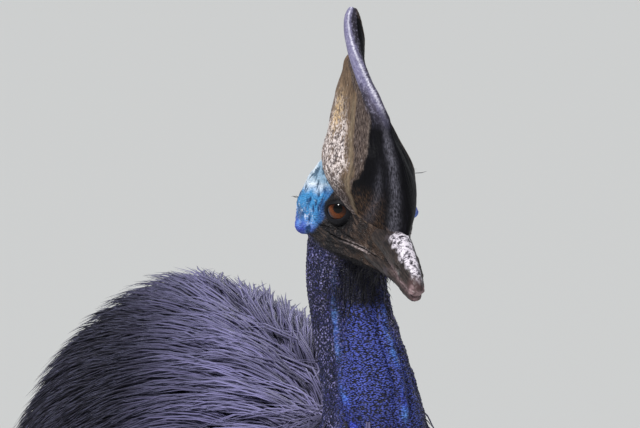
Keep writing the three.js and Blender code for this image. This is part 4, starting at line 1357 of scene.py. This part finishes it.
# Fine black bristles: where they stand in the head's frame, how long they are, and how thickly they grow.
# Each: sides, middle, way, reach in mm, length in mm, share of the full density.
bristlePlaces = {
    "crown": ((1,), (33, 16, 8), (0.95, -0.1, 0.45), 9, 26, 1.0),
    "ear": ((-1, 1), (49, 43, -12), (0.8, 0.5, 0.1), 14, 3, 0.15),
    "lore": ((-1, 1), (17, -28, -10), (0.6, 0.5, 0.4), 11, 5, 0.7),
    "chin": ((-1, 1), (6, -26, -53), (0.1, 0.3, -0.9), 22, 11, 0.7),
}
bristleSettings = {"density": 60000.0, "rise": 1.5, "wildness": 0.3, "clumping": 0.3, "clumpSize": 12.0}
bristleShape = {"vanes": 1, "steps": 4, "half": 0.34, "thick": 0.5, "spread": 0.0, "seed": 8}
throatHair = {"length": 24, "share": 0.8}


def rootBristles(skin):
    place = coordinates(skin)
    points = toHead(place)
    normals = normalsOf(skin)
    lie = 0.3 * normals
    length = np.full(len(points), 6.0)
    grow = np.zeros(len(points))
    for sides, at, way, reach, long, thick in bristlePlaces.values():
        for side in sides:
            flip = np.array((side, 1, 1))
            share = ball(np.linalg.norm(points - np.array(at) * flip, axis=1), reach * 0.7)
            lie = lie + share[:, None] * (headTurn @ (np.array(way) * flip))
            length = length * (1 - share) + long * share
            grow = np.maximum(grow, thick * (share > 0.25) * share)
    low = np.empty(len(points), np.float32)
    skin.data.attributes["throat"].data.foreach_get("value", low)
    hair = low * ramp(points[:, 2], -44, -54)
    lie = lie * (1 - hair)[:, None] + hair[:, None] * np.array((0, -0.1, -1))
    length = length * (1 - hair) + throatHair["length"] * hair
    grow = np.maximum(grow, throatHair["share"] * hair * (hair > 0.2))
    around = np.arctan2(points[:, 0], -points[:, 1]) / tau + 0.5
    patch = np.column_stack([around, np.clip((place[:, 2] - 0.85) / 0.5, 0, 1), 0 * around])
    setAttributes(skin, lie=unit(lie), reach=length * mm, free=1 - 0.6 * hair)
    setAttributes(skin, rootPatch=patch, coat_bristles=grow)


def bristleMaterial():
    material, tree, shader = newMaterial("bristles", 0.5, Specular_IOR_Level=0.3)
    tone = laid(tree, rgb(0.004, 0.004, 0.006), rgb(0.016, 0.015, 0.02), mask="tint")
    setGiven(tree, shader, Base_Color=tone)
    return material


rootBristles(skinHead)
bristle = makeTuft("bristle", bristleShape)
growCoat(skinHead, ["bristles"], bristle, bristleMaterial(), bristleSettings, "coat_", 5)
print("bristles ready")


# Eyes and lids.
eyeGrid = {"rings": 48, "sides": 72, "pole": 0.02, "cornea": 1.2, "corneaReach": 6}
lidGrid = {"around": 120, "section": 24}


def turnedTo(points, at, facing):
    turn = np.array(Vector((0, 0, 1)).rotation_difference(Vector(facing)).to_matrix())
    return np.asarray(points) @ turn.T + at


def makeEye(name, side, material):
    at, facing = eyeOf(side)
    rings, sides, pole = eyeGrid["rings"], eyeGrid["sides"], eyeGrid["pole"]
    polar = np.linspace(pole, math.pi - pole, rings + 1)[:, None]
    around = (np.arange(sides) * tau / sides)[None, :]
    r = eyeSizes["radius"]
    across = r * np.sin(polar)
    height = r * np.cos(polar) + 0 * around
    points = np.stack([across * np.cos(around), across * np.sin(around), height], -1)
    dome = ball(np.linalg.norm(points[..., :2], axis=-1), eyeGrid["corneaReach"])
    points[..., 2] += eyeGrid["cornea"] * dome * (points[..., 2] > 0)
    ends = [(0, 0, points[0, :, 2].mean()), (0, 0, points[-1, :, 2].mean())]
    flat = np.vstack([points.reshape(-1, 3), ends])
    faces = [tuple(reversed(f)) for f in gridFaces(rings, sides)]
    placed = turnedTo(flat, at, facing)
    made = meshObject("eye_" + name + "_ball", fromHead(placed), faces)
    lidAcross, lidAbove = lidPlane(side)[2:]
    # Painted shadow of the brow over the iris's upper front.
    brow = ramp((placed - at) @ (0.75 * lidAbove - 0.65 * lidAcross), 0.0, 5.0)
    off = np.linalg.norm(flat[:, :2], axis=1) + 40 * (flat[:, 2] < 0)
    fibres = np.column_stack([np.arctan2(flat[:, 1], flat[:, 0]) * 3, off * 0.25, 0 * off])
    setAttributes(made, brow=brow, fromPupil=off, around=fibres)
    finishPiece(made, material, "eye", "eye_" + name)


def eyeMaterial():
    iris, pupil = eyeSizes["iris"], eyeSizes["pupil"]
    material, tree, shader = newMaterial("wet eye", 0.05, Specular_IOR_Level=0.2)
    off = attributeOf(tree, "fromPupil")
    fibres = noiseOf(tree, attributeOf(tree, "around", "Vector"), 5.0)
    tone = laid(tree, rgb(0.04, 0.009, 0.002), rgb(0.2, 0.05, 0.007), fibres, (0.35, 0.65))
    tone = laid(tree, tone, rgb(0.03, 0.007, 0.003), off, (iris - 3, iris))
    # Painted shadow of the brow on the iris.
    tone = laid(tree, tone, rgb(0.014, 0.004, 0.002), most=0.9, mask="brow")
    tone = laid(tree, rgb(0.001, 0.001, 0.001), tone, off, (pupil - 0.3, pupil + 0.5))
    tone = laid(tree, tone, rgb(0.003, 0.003, 0.003), off, (iris - 0.4, iris + 0.4))
    setGiven(tree, shader, Base_Color=tone)
    return material


def makeLids(name, side, material):
    at, facing, across, above = lidPlane(side)
    n, m = lidGrid["around"], lidGrid["section"]
    a, b = np.meshgrid(np.arange(n) * tau / n, np.arange(m) * tau / m, indexing="ij")
    outer, opening = lidReach(a)
    middle, thick = (outer + opening) / 2, (outer - opening) / 2
    rest = np.sqrt(np.clip(eyeSizes["radius"] ** 2 - middle ** 2, 16, None)) + lidSizes["lift"]
    ridges = 0.22 * np.sin(4 * b + 1.5 * np.sin(3 * a)) + 0.12 * np.sin(9 * b + 2 * np.sin(2 * a))
    r = middle + (thick + ridges) * np.cos(b)
    height = rest - 0.6 * thick * np.cos(b) + (0.72 * thick + ridges) * np.sin(b)
    flat = r[..., None] * (np.cos(a)[..., None] * across + np.sin(a)[..., None] * above)
    points = at + flat + height[..., None] * facing
    faces = []
    for i in range(n):
        first, second = i * m, ((i + 1) % n) * m
        for j in range(m):
            k = (j + 1) % m
            quad = (first + j, second + j, second + k, first + k)
            faces.append(quad if side > 0 else quad[::-1])
    made = meshObject("lids_" + name, fromHead(points.reshape(-1, 3)), faces)
    edge = bmesh.new()
    edge.from_mesh(made.data)
    bmesh.ops.recalc_face_normals(edge, faces=edge.faces)
    edge.to_mesh(made.data)
    edge.free()
    finishPiece(made, material, "head_skin")


def lidMaterial():
    material, tree, shader = newMaterial("lids", 0.6, Specular_IOR_Level=0.15)
    fine = noiseOf(tree, objectPoint(tree), 600.0, 3)
    tone = laid(tree, rgb(0.002, 0.002, 0.003), rgb(0.01, 0.01, 0.013), mask=fine)
    setGiven(tree, shader, Base_Color=tone)
    bumped(tree, shader, fine, 0.3, 0.0005)
    return material


wetEye, lidSkin = eyeMaterial(), lidMaterial()
for name, side in sideSigns.items():
    makeEye(name, side, wetEye)
    makeLids(name, side, lidSkin)
print("eyes ready")


# Casque. The worn brown sheath on each side ends before the dark front, at this y by height.
casqueSettings = {
    "voxel": 1.5,
    "quickVoxel": 2.25,
    "smoothing": 4,
    "subdivisions": 1,
    # right and ahead: the view's right and the way back towards the view, in the head's frame, which place
    # the rim's painted highlight.
    "right": np.array((0.94, -0.33, -0.02)),
    "ahead": np.array((-0.3, -0.88, 0.36)),
    "ochre": (-22, 17, 73),
}
# Where the painted highlight runs along the rim, from -1 at its right side to 1 at its left, by height.
ridgeLine = [(157, -0.1), (140, -0.05), (129, 0.0), (118, 0.2), (106, 0.3), (93, 0.42), (80, 0.55)]
sheathEdge = [
    (-8, -41), (0, -24.4), (14, -28), (25, -31), (31, -33), (36, -39), (44, -42), (54, -41), (67, -36),
    (80, -32), (86, -30), (90, -29), (95, -24), (101, -14), (108, -6), (113, 2), (125, 16),
]
# The smooth pale strip stands this far behind the sheath's edge, by height.
stripPlaces = [(0, 1), (23, 3), (40, 10), (62, 22.5), (90, 22), (112, 16)]


# Round and along the casque, so that streaks run down it and gather at the bill.
def casqueFlow(points):
    t = np.linspace(0, 1, 300)
    centre = spline(casqueForm.places, t)
    at = np.interp(points[:, 2], centre[:, 2], t)
    _, up, side = casqueForm.axes(at)
    sizes = spline(casqueForm.sizes, at)
    off = points - spline(casqueForm.places, at)
    angle = np.arctan2((off * side).sum(axis=1) / sizes[:, 0], (off * up).sum(axis=1) / sizes[:, 1])
    return angle, at


def makeCasque():
    parts = [casqueForm.grid(150, 96), rimForm.grid(80, 40)]
    made = remeshed(joinParts("casque_horn", [(fromHead(p), f) for p, f in parts]), casqueSettings)
    points = toHead(coordinates(made))
    normals = normalsOf(made) @ headTurn
    x, y, z = points.T
    angle, at = casqueFlow(points)
    flow = np.column_stack([angle * 3, at * 2.2, 0 * at])
    ragged = 1.5 * grain(points, 0.12, 2) + 0.8 * grain(points, 0.5, 7)

    # The thick rim, and the painted highlight that runs along it where it faces the view.
    steps = np.linspace(0, 0.97, 60)
    rimPlaces, rimSizes = spline(rimForm.places, steps), spline(rimForm.sizes, steps)[:, 0]
    away = np.linalg.norm(points[:, None] - rimPlaces[None], axis=2) / rimSizes[None]
    rimShare = ramp(away.min(axis=1) + 0.12 * grain(points, 0.2, 4), 1.9, 1.35)
    rimShare = rimShare * ramp(z + 4 * grain(points, 0.1), 74, 98)
    closest = away.argmin(axis=1)
    across = ((points - rimPlaces[closest]) @ casqueSettings["right"]) / rimSizes[closest]
    inFront = (points - rimPlaces[closest]) @ casqueSettings["ahead"] > 0
    aside = across - column(ridgeLine, z)
    # Painted highlight on the rim's side that faces the view, along its line.
    edge = inFront * ball(aside + 0.08 * grain(points, 0.5, 3), 0.15) * ramp(z, 66, 100)
    near = ball(aside + 0.2 * grain(points, 0.3, 8), 0.5)
    high = ramp(z, 98, 114)
    rimLeft = ramp(across + 0.3 * grain(points, 0.3, 8), 0.9, 0.1) * (high + (1 - high) * near)

    # The dark front, and the sheath's flaking horn behind its smooth strip.
    behind = y - column(sheathEdge, z) + ragged
    fromStrip = behind - column(stripPlaces, z)
    front = ramp(behind, 0.9, -0.9)
    front = np.maximum(front, ramp(np.abs(x) + 0.12 * ragged, 4.5, 3.5) * (y < 0))
    flake = ramp(z + 8 * ragged, 96, 56) * ramp(fromStrip + 3 * ragged, 2, 12)
    flake *= 1 - 0.72 * ramp(z + 3 * ragged, 32, 14)
    ridge = ball(x + 2.6 - 0.8 * grain(points * (0, 0, 1), 0.05), 3.0) * ramp(z, 92, 66) * (y < 0)
    second = ball(x + 15 - 0.06 * z, 2.4) * ramp(z, 62, 30) * (y < 0)
    rise = 0.75 * (1 - front) * (1 - rimShare)
    rise -= 1.5 * ball(behind + 9, 5.5) * ramp(z, 26, 44) * ramp(z, 104, 88) * ramp(np.abs(x), 3, 6)
    rise += 0.9 * ridge + 0.4 * second
    rise += 0.22 * grain(flow, 5.5, 1) * (1 - rimShare) + 0.12 * grain(flow, 14, 3)
    rise += flake * (0.35 * pebbles(points, 0.45) + 0.25 * grain(points, 0.6, 6))
    rise += 0.5 * grain(points, 0.06, 12)
    moveTo(made, fromHead(points + normals * rise[:, None]))
    setAttributes(
        made,
        front=front,
        rimShare=rimShare,
        edge=edge * rimShare,
        rimLeft=rimLeft,
        flake=flake,
        # The worn mask holds a painted highlight along the front's ridges.
        worn=np.clip(ridge + 0.5 * second, 0, 1),
        strip=ball(fromStrip, 2.6) * ramp(z, 100, 80) * ramp(z, 0, 8),
        root=ramp(z + 2 * ragged, 34, 14) * ramp(fromStrip, 1, 5),
        brink=ball(behind - 0.9, 0.7) * ramp(z, 96, 86) * ramp(z, 50, 66) * 0.5,
        lower=ramp(z, 34, 14) * ramp(behind, 2, -3) * ramp(behind, -34, -20) * (x < 2),
        mid=ramp(-fromStrip, 2, 5),
        ochre=ball(np.linalg.norm((points - casqueSettings["ochre"]) * (1, 1, 0.6), axis=1), 10),
        shade=ball(behind + 7, 5) * ramp(z, 20, 40) * ramp(z, 104, 90),
        flow=flow,
    )
    finishPiece(made, casqueMaterial(), "casque_horn", "casque")


def casqueMaterial():
    material, tree, shader = newMaterial("casque horn", 0.45, Specular_IOR_Level=0.09)
    place = objectPoint(tree)
    flow = attributeOf(tree, "flow", "Vector")
    streaks = noiseOf(tree, flow, 7.0, 6, 0.62)
    thin = noiseOf(tree, flow, 24.0, 4, 0.6)
    patches = noiseOf(tree, place, 38.0, 5)
    fine = noiseOf(tree, place, 430.0)
    chips = noiseOf(tree, place, 330.0, 6, 0.7)
    crust = noiseOf(tree, place, 130.0, 5, 0.6)
    scurf = noiseOf(tree, place, 420.0, 6, 0.7)

    # Near-black front with fine streaks, a painted highlight along its ridge, and brown at its foot.
    dark = laid(tree, rgb(0.002, 0.0018, 0.003), rgb(0.01, 0.0095, 0.015), streaks, (0.48, 0.78))
    dark = laid(tree, dark, rgb(0.06, 0.06, 0.08), thin, (0.62, 0.8), most=0.5)
    dark = laid(tree, dark, rgb(0.11, 0.062, 0.036), thin, (0.46, 0.64), mask="lower")
    # The pale ridge is a painted highlight, not wear.
    worn = mathOf(tree, "MULTIPLY", attributeOf(tree, "worn"), span(tree, thin, 0.4, 0.62, 0.12))
    dark = laid(tree, dark, rgb(0.15, 0.145, 0.18), chips, (0.36, 0.56), least=0.35, mask=worn)

    # Sheath: brown and streaked, greyer before the pale strip, flaky behind it.
    sheath = laid(tree, rgb(0.05, 0.033, 0.024), rgb(0.21, 0.14, 0.09), streaks, (0.35, 0.65))
    sheath = laid(tree, sheath, rgb(0.045, 0.036, 0.04), patches, (0.5, 0.72), most=0.7)
    grey = laid(tree, rgb(0.012, 0.009, 0.011), rgb(0.16, 0.125, 0.115), thin, (0.45, 0.6))
    sheath = laid(tree, sheath, grey, most=0.85, mask="mid")
    sheath = laid(tree, sheath, rgb(0.34, 0.26, 0.2), thin, (0.58, 0.72), most=0.6)
    sheath = laid(tree, sheath, rgb(0.42, 0.38, 0.36), chips, (0.62, 0.72), most=0.7)
    strip = laid(tree, rgb(0.13, 0.1, 0.07), rgb(0.24, 0.19, 0.13), thin, (0.4, 0.6))
    sheath = laid(tree, sheath, strip, streaks, (0.3, 0.55), 0.35, 0.85, "strip")
    root = laid(tree, rgb(0.022, 0.015, 0.015), rgb(0.22, 0.16, 0.16), scurf, (0.5, 0.66))
    sheath = laid(tree, sheath, root, most=0.85, mask="root")
    flakes = mathOf(tree, "MULTIPLY", attributeOf(tree, "flake"), span(tree, crust, 0.33, 0.52))
    sheath = laid(tree, sheath, rgb(0.085, 0.07, 0.075), scurf, (0.52, 0.4), mask="flake")
    sheath = laid(tree, sheath, rgb(0.78, 0.69, 0.67), scurf, (0.44, 0.57), mask=flakes)
    sheath = laid(tree, sheath, rgb(0.3, 0.25, 0.21), chips, (0.4, 0.6), 0.2, 0.9, "brink")
    sheath = laid(tree, sheath, rgb(0.85, 0.6, 0.33), chips, (0.4, 0.62), mask="ochre")

    # Rim: violet grey on its left (lower down only round the painted highlight), scurfy all over, with a
    # painted highlight along its edge.
    rim = laid(tree, rgb(0.03, 0.026, 0.036), rgb(0.085, 0.075, 0.11), patches, (0.35, 0.65))
    pale = laid(tree, rgb(0.13, 0.12, 0.21), rgb(0.25, 0.235, 0.37), streaks, (0.35, 0.65))
    rim = laid(tree, rim, pale, mask="rimLeft")
    rim = laid(tree, rim, rgb(0.36, 0.34, 0.45), chips, (0.56, 0.7), most=0.6)
    rim = laid(tree, rim, rgb(0.34, 0.32, 0.44), scurf, (0.52, 0.64), most=0.7)
    rim = laid(tree, rim, rgb(0.02, 0.018, 0.03), scurf, (0.44, 0.34), most=0.75)
    # Painted highlight: near white along the rim's edge.
    rim = laid(tree, rim, rgb(0.78, 0.76, 0.86), scurf, (0.38, 0.56), 0.35, 0.95, "edge")
    tone = laid(tree, sheath, dark, mask="front")
    tone = laid(tree, tone, rgb(0.002, 0.002, 0.003), most=0.85, mask="shade")
    tone = laid(tree, tone, rim, mask="rimShare")
    matt = span(tree, chips, 0.3, 0.7, 0.5, 0.75)
    rough = laid(tree, matt, span(tree, streaks, 0.3, 0.7, 0.46, 0.62), mask="front")
    setGiven(tree, shader, Base_Color=tone, Roughness=rough)
    first = bumped(tree, shader, thin, 0.3, 0.0008)
    bumped(tree, shader, mathOf(tree, "ADD", chips, fine), 0.4, 0.0007, first)
    return material


makeCasque()
print("casque ready")


# Bill.
billSettings = {"rings": 170, "sides": 108, "nostril": (-92, 86)}


# Under 1 inside the nostril, which slants down towards the tip.
def nostrilShare(y, turn):
    at, over = billSettings["nostril"]
    return np.hypot((y - at) / 6.2, (turn - over + 1.6 * (y - at)) / 17)


def shapeUpperBill(points, t, angle):
    outward = unit(points - spline(upperBillForm.places, t))
    turn = turnOf(angle)
    y = points[..., 1]
    rough = grain(points, 0.28, 5)
    ridge = ramp(turn + 12 * rough, 46, 34) * ramp(y, -62, -66)
    rise = ridge * (0.9 + 0.55 * pebbles(points, 0.33) + 0.4 * rough)
    rise += 0.7 * ball(turn - 112, 9) * ramp(y, -60, -75) + 0.5 * ball(turn - 90, 6) * ramp(y, -75, -90)
    hole = nostrilShare(y, turn)
    rise += 0.9 * ball(hole - 1.2, 0.3) - 3.6 * ramp(hole, 1.0, 0.6)
    rise += 1.5 * ramp(y, -108, -114) * ramp(turn, 70, 120) * ramp(y, -119, -116)
    rise += 0.25 * grain(points, 0.7, 9)
    return points + outward * rise[..., None]


def shapeLowerBill(points, t, angle):
    outward = unit(points - spline(lowerBillForm.places, t))
    rise = 0.3 * grain(points * (1, 0.3, 1), 0.6, 4) + 0.2 * grain(points, 0.5, 8)
    return points + outward * rise[..., None]


def makeBill():
    rings, sides = billSettings["rings"], billSettings["sides"]
    material = billMaterial()
    bills = {"upper": (upperBillForm, shapeUpperBill), "lower": (lowerBillForm, shapeLowerBill)}
    for name, (form, shape) in bills.items():
        points, faces = form.grid(rings, sides, shape=shape)
        made = meshObject("bill_horn_" + name, fromHead(points), faces)
        x, y = np.abs(points[:, 0]), points[:, 1]
        t, _ = gridPlaces(rings, sides)
        off = points - spline(form.places, t)
        turn = np.degrees(np.arctan2(x, off[:, 2]))
        ragged = 10 * grain(points, 0.25, 5)
        isUpper = name == "upper"
        jagged = y + 0.3 * ragged
        culmen = ramp(turn + 1.6 * ragged, 46, 26) * ramp(jagged, -62, -72) * ramp(jagged, -117, -107)
        margin = ball(turn - (104 if isUpper else 62), 13) * ramp(y, -60, -96)
        margin = margin + ramp(y, -111, -116) * (turn > 60)
        setAttributes(
            made,
            culmen=culmen * isUpper,
            hole=ramp(nostrilShare(y, turn), 1.0, 0.7) * isUpper,
            tip=ramp(y, -105, -114),
            margin=np.clip(margin, 0, 1),
            flow=np.column_stack([turn * 0.05, y * 0.02, 0 * y]),
        )
        finishPiece(made, material, "bill_horn", "bill_" + name)


def billMaterial():
    material, tree, shader = newMaterial("bill horn", 0.42, Specular_IOR_Level=0.35)
    place = objectPoint(tree)
    streaks = noiseOf(tree, attributeOf(tree, "flow", "Vector"), 5.0, 5)
    chips = noiseOf(tree, place, 260.0, 6, 0.7)
    patches = noiseOf(tree, place, 70.0, 5)
    tone = laid(tree, rgb(0.008, 0.006, 0.006), rgb(0.045, 0.031, 0.026), streaks, (0.38, 0.66))
    tone = laid(tree, tone, rgb(0.08, 0.065, 0.08), patches, (0.58, 0.72), most=0.4)
    tone = laid(tree, tone, rgb(0.085, 0.045, 0.045), most=0.7, mask="tip")
    tone = laid(tree, tone, rgb(0.34, 0.23, 0.24), chips, (0.4, 0.6), 0.2, 0.8, "margin")
    tone = laid(tree, tone, rgb(0.2, 0.18, 0.22), most=0.7, mask="culmen")
    tone = laid(tree, tone, rgb(0.78, 0.72, 0.78), chips, (0.44, 0.54), most=0.95, mask="culmen")
    tone = laid(tree, tone, rgb(0.016, 0.013, 0.016), chips, (0.45, 0.39), mask="culmen")
    # Painted shade: near black inside the nostril.
    tone = laid(tree, tone, rgb(0.002, 0.002, 0.002), mask="hole")
    setGiven(tree, shader, Base_Color=tone, Roughness=span(tree, chips, 0.35, 0.65, 0.34, 0.6))
    first = bumped(tree, shader, streaks, 0.3, 0.0006)
    bumped(tree, shader, chips, 0.4, 0.0007, first)
    return material


makeBill()
print("bill ready")


# Smooth streaked horn of the claws and the quills.
def hornMaterial(name, dark, light):
    material, tree, shader = newMaterial(name, 0.4, Specular_IOR_Level=0.5)
    streaks = noiseOf(tree, objectPoint(tree, (1, 1, 0.3)), 160.0, 5)
    tone = laid(tree, dark, light, mask=streaks)
    setGiven(tree, shader, Base_Color=tone, Roughness=span(tree, streaks, 0.3, 0.7, 0.3, 0.5))
    bumped(tree, shader, streaks, 0.25, 0.0005)
    return material


# Wattles: soft, with long folds and a pebbled skin.
def wattleSkin(points, t, angle):
    side = 1 if points[..., 0].mean() > -4 else -1
    outward = unit(points - spline(wattleForm(side).places, t))
    folds = 1 - 2 * np.abs(np.sin(angle * 2.5 + 2.4 * np.sin(t * 5)))
    rise = 0.9 * folds * ramp(t, 0.06, 0.3) + 0.7 * grain(points * (1, 1, 0.4), 0.16, 3)
    rise += 0.5 * pebbles(points, 0.36)
    return points + outward * rise[..., None]


def wattleMaterial():
    material, tree, shader = newMaterial("wattle", 0.42, Specular_IOR_Level=0.4, Subsurface_Weight=0.1)
    patches = noiseOf(tree, objectPoint(tree), 60.0, 5)
    cells = cellsOf(tree, objectPoint(tree), 420.0)
    tone = laid(tree, rgb(0.2, 0.008, 0.01), rgb(0.5, 0.03, 0.022), mask=patches)
    tone = laid(tree, tone, rgb(0.09, 0.004, 0.01), cells, (0.35, 0.7), most=0.7)
    setGiven(tree, shader, Base_Color=tone)
    bumped(tree, shader, cells, 0.4, 0.0008)
    return material


def makeWattles():
    material = wattleMaterial()
    for name, side in sideSigns.items():
        points, faces = wattleForm(side).grid(110, 64, shape=wattleSkin)
        made = meshObject("wattle_skin_" + name, fromBody(points), faces)
        finishPiece(made, material, "wattle", "wattle_" + name)


makeWattles()
print("wattles ready")


# Legs: broad plates lie over one another down the front, small round scales cover the rest.
scuteSettings = {"shank": 34, "frontTurn": 50, "plate": 1.1, "groove": 0.9, "scale": 0.17, "scaleRise": 0.9}
legFloor = {"skin": 0.0003, "claw": 0.0004}  # nothing of the feet goes below this height


def scaled(form, plates, rings, sides):
    points, faces = form.grid(rings, sides)
    t, angle = gridPlaces(rings, sides)
    turn = turnOf(angle)
    settings = scuteSettings
    share = (t * plates) % 1
    front = ramp(turn, settings["frontTurn"] + 6, settings["frontTurn"] - 8)
    groove = np.maximum(ball(share, 0.07), ball(share - 1, 0.07))
    cells = pebbles(points, settings["scale"])
    plate = settings["plate"] * share ** 0.8 - settings["groove"] * groove
    rise = front * plate + (1 - front) * settings["scaleRise"] * (ramp(cells, 0.05, 0.45) - 0.3)
    rise += 0.3 * grain(points, 0.12, 4)
    rise[-2:] = 0
    dent = front * groove + (1 - front) * ramp(cells, 0.22, 0.04)
    return points + unit(points - spline(form.places, t)) * rise[:, None], faces, dent


def legMaterial():
    material, tree, shader = newMaterial("leg scales", 0.55, Specular_IOR_Level=0.3)
    place = objectPoint(tree)
    cells = cellsOf(tree, place, 700.0)
    patches = noiseOf(tree, place, 24.0, 5)
    fine = noiseOf(tree, place, 260.0, 5)
    tone = laid(tree, rgb(0.085, 0.08, 0.06), rgb(0.2, 0.185, 0.135), mask=patches)
    tone = laid(tree, tone, rgb(0.28, 0.26, 0.2), fine, (0.5, 0.7), most=0.5)
    tone = laid(tree, tone, rgb(0.022, 0.02, 0.016), most=0.85, mask="dent")
    setGiven(tree, shader, Base_Color=tone)
    bumped(tree, shader, mathOf(tree, "ADD", cells, fine), 0.35, 0.0008)
    return material


def makeLegs():
    scales = legMaterial()
    clawHorn = hornMaterial("claw horn", rgb(0.012, 0.01, 0.01), rgb(0.05, 0.045, 0.04))
    for name, side in sideSigns.items():
        parts = [scaled(shankForm(side), scuteSettings["shank"], 300, 80)]
        for toe in toeSizes.values():
            parts.append(scaled(toeForms(side, toe)[0], toe["scutes"], 150, 56))
        made = joinParts("leg_skin_" + name, [(fromBody(p), f) for p, f, _ in parts])
        setAttributes(made, dent=np.concatenate([dent for _, _, dent in parts]))
        points = coordinates(made)
        points[:, 2] = np.maximum(points[:, 2], legFloor["skin"])
        moveTo(made, points)
        nodes = ["shank_" + name] + ["toe_" + toe + "_" + name for toe in toeSizes]
        finishPiece(made, scales, "leg_scales", *nodes)
        for toeName, toe in toeSizes.items():
            label = toeName + "_" + name
            points, faces = toeForms(side, toe)[1].grid(40, 28)
            points = fromBody(points)
            points[:, 2] = np.maximum(points[:, 2], legFloor["claw"])
            finishPiece(meshObject("claw_horn_" + label, points, faces), clawHorn, "claw", "claw_" + label)


makeLegs()
print("legs ready")


# Wings: bare black quills that curve down from an arm under the plumage.
def makeQuills():
    horn = hornMaterial("quill", rgb(0.003, 0.003, 0.004), rgb(0.016, 0.014, 0.015))
    for name, side in sideSigns.items():
        parts = [armForm(side, 0.7).grid(24, 20)]
        parts += [quill.grid(60, 16) for quill in quillForms(side)]
        made = joinParts("wing_quills_" + name, [(fromBody(p), f) for p, f in parts])
        finishPiece(made, horn, "quill", "wing_" + name)


makeQuills()
print("quills ready")
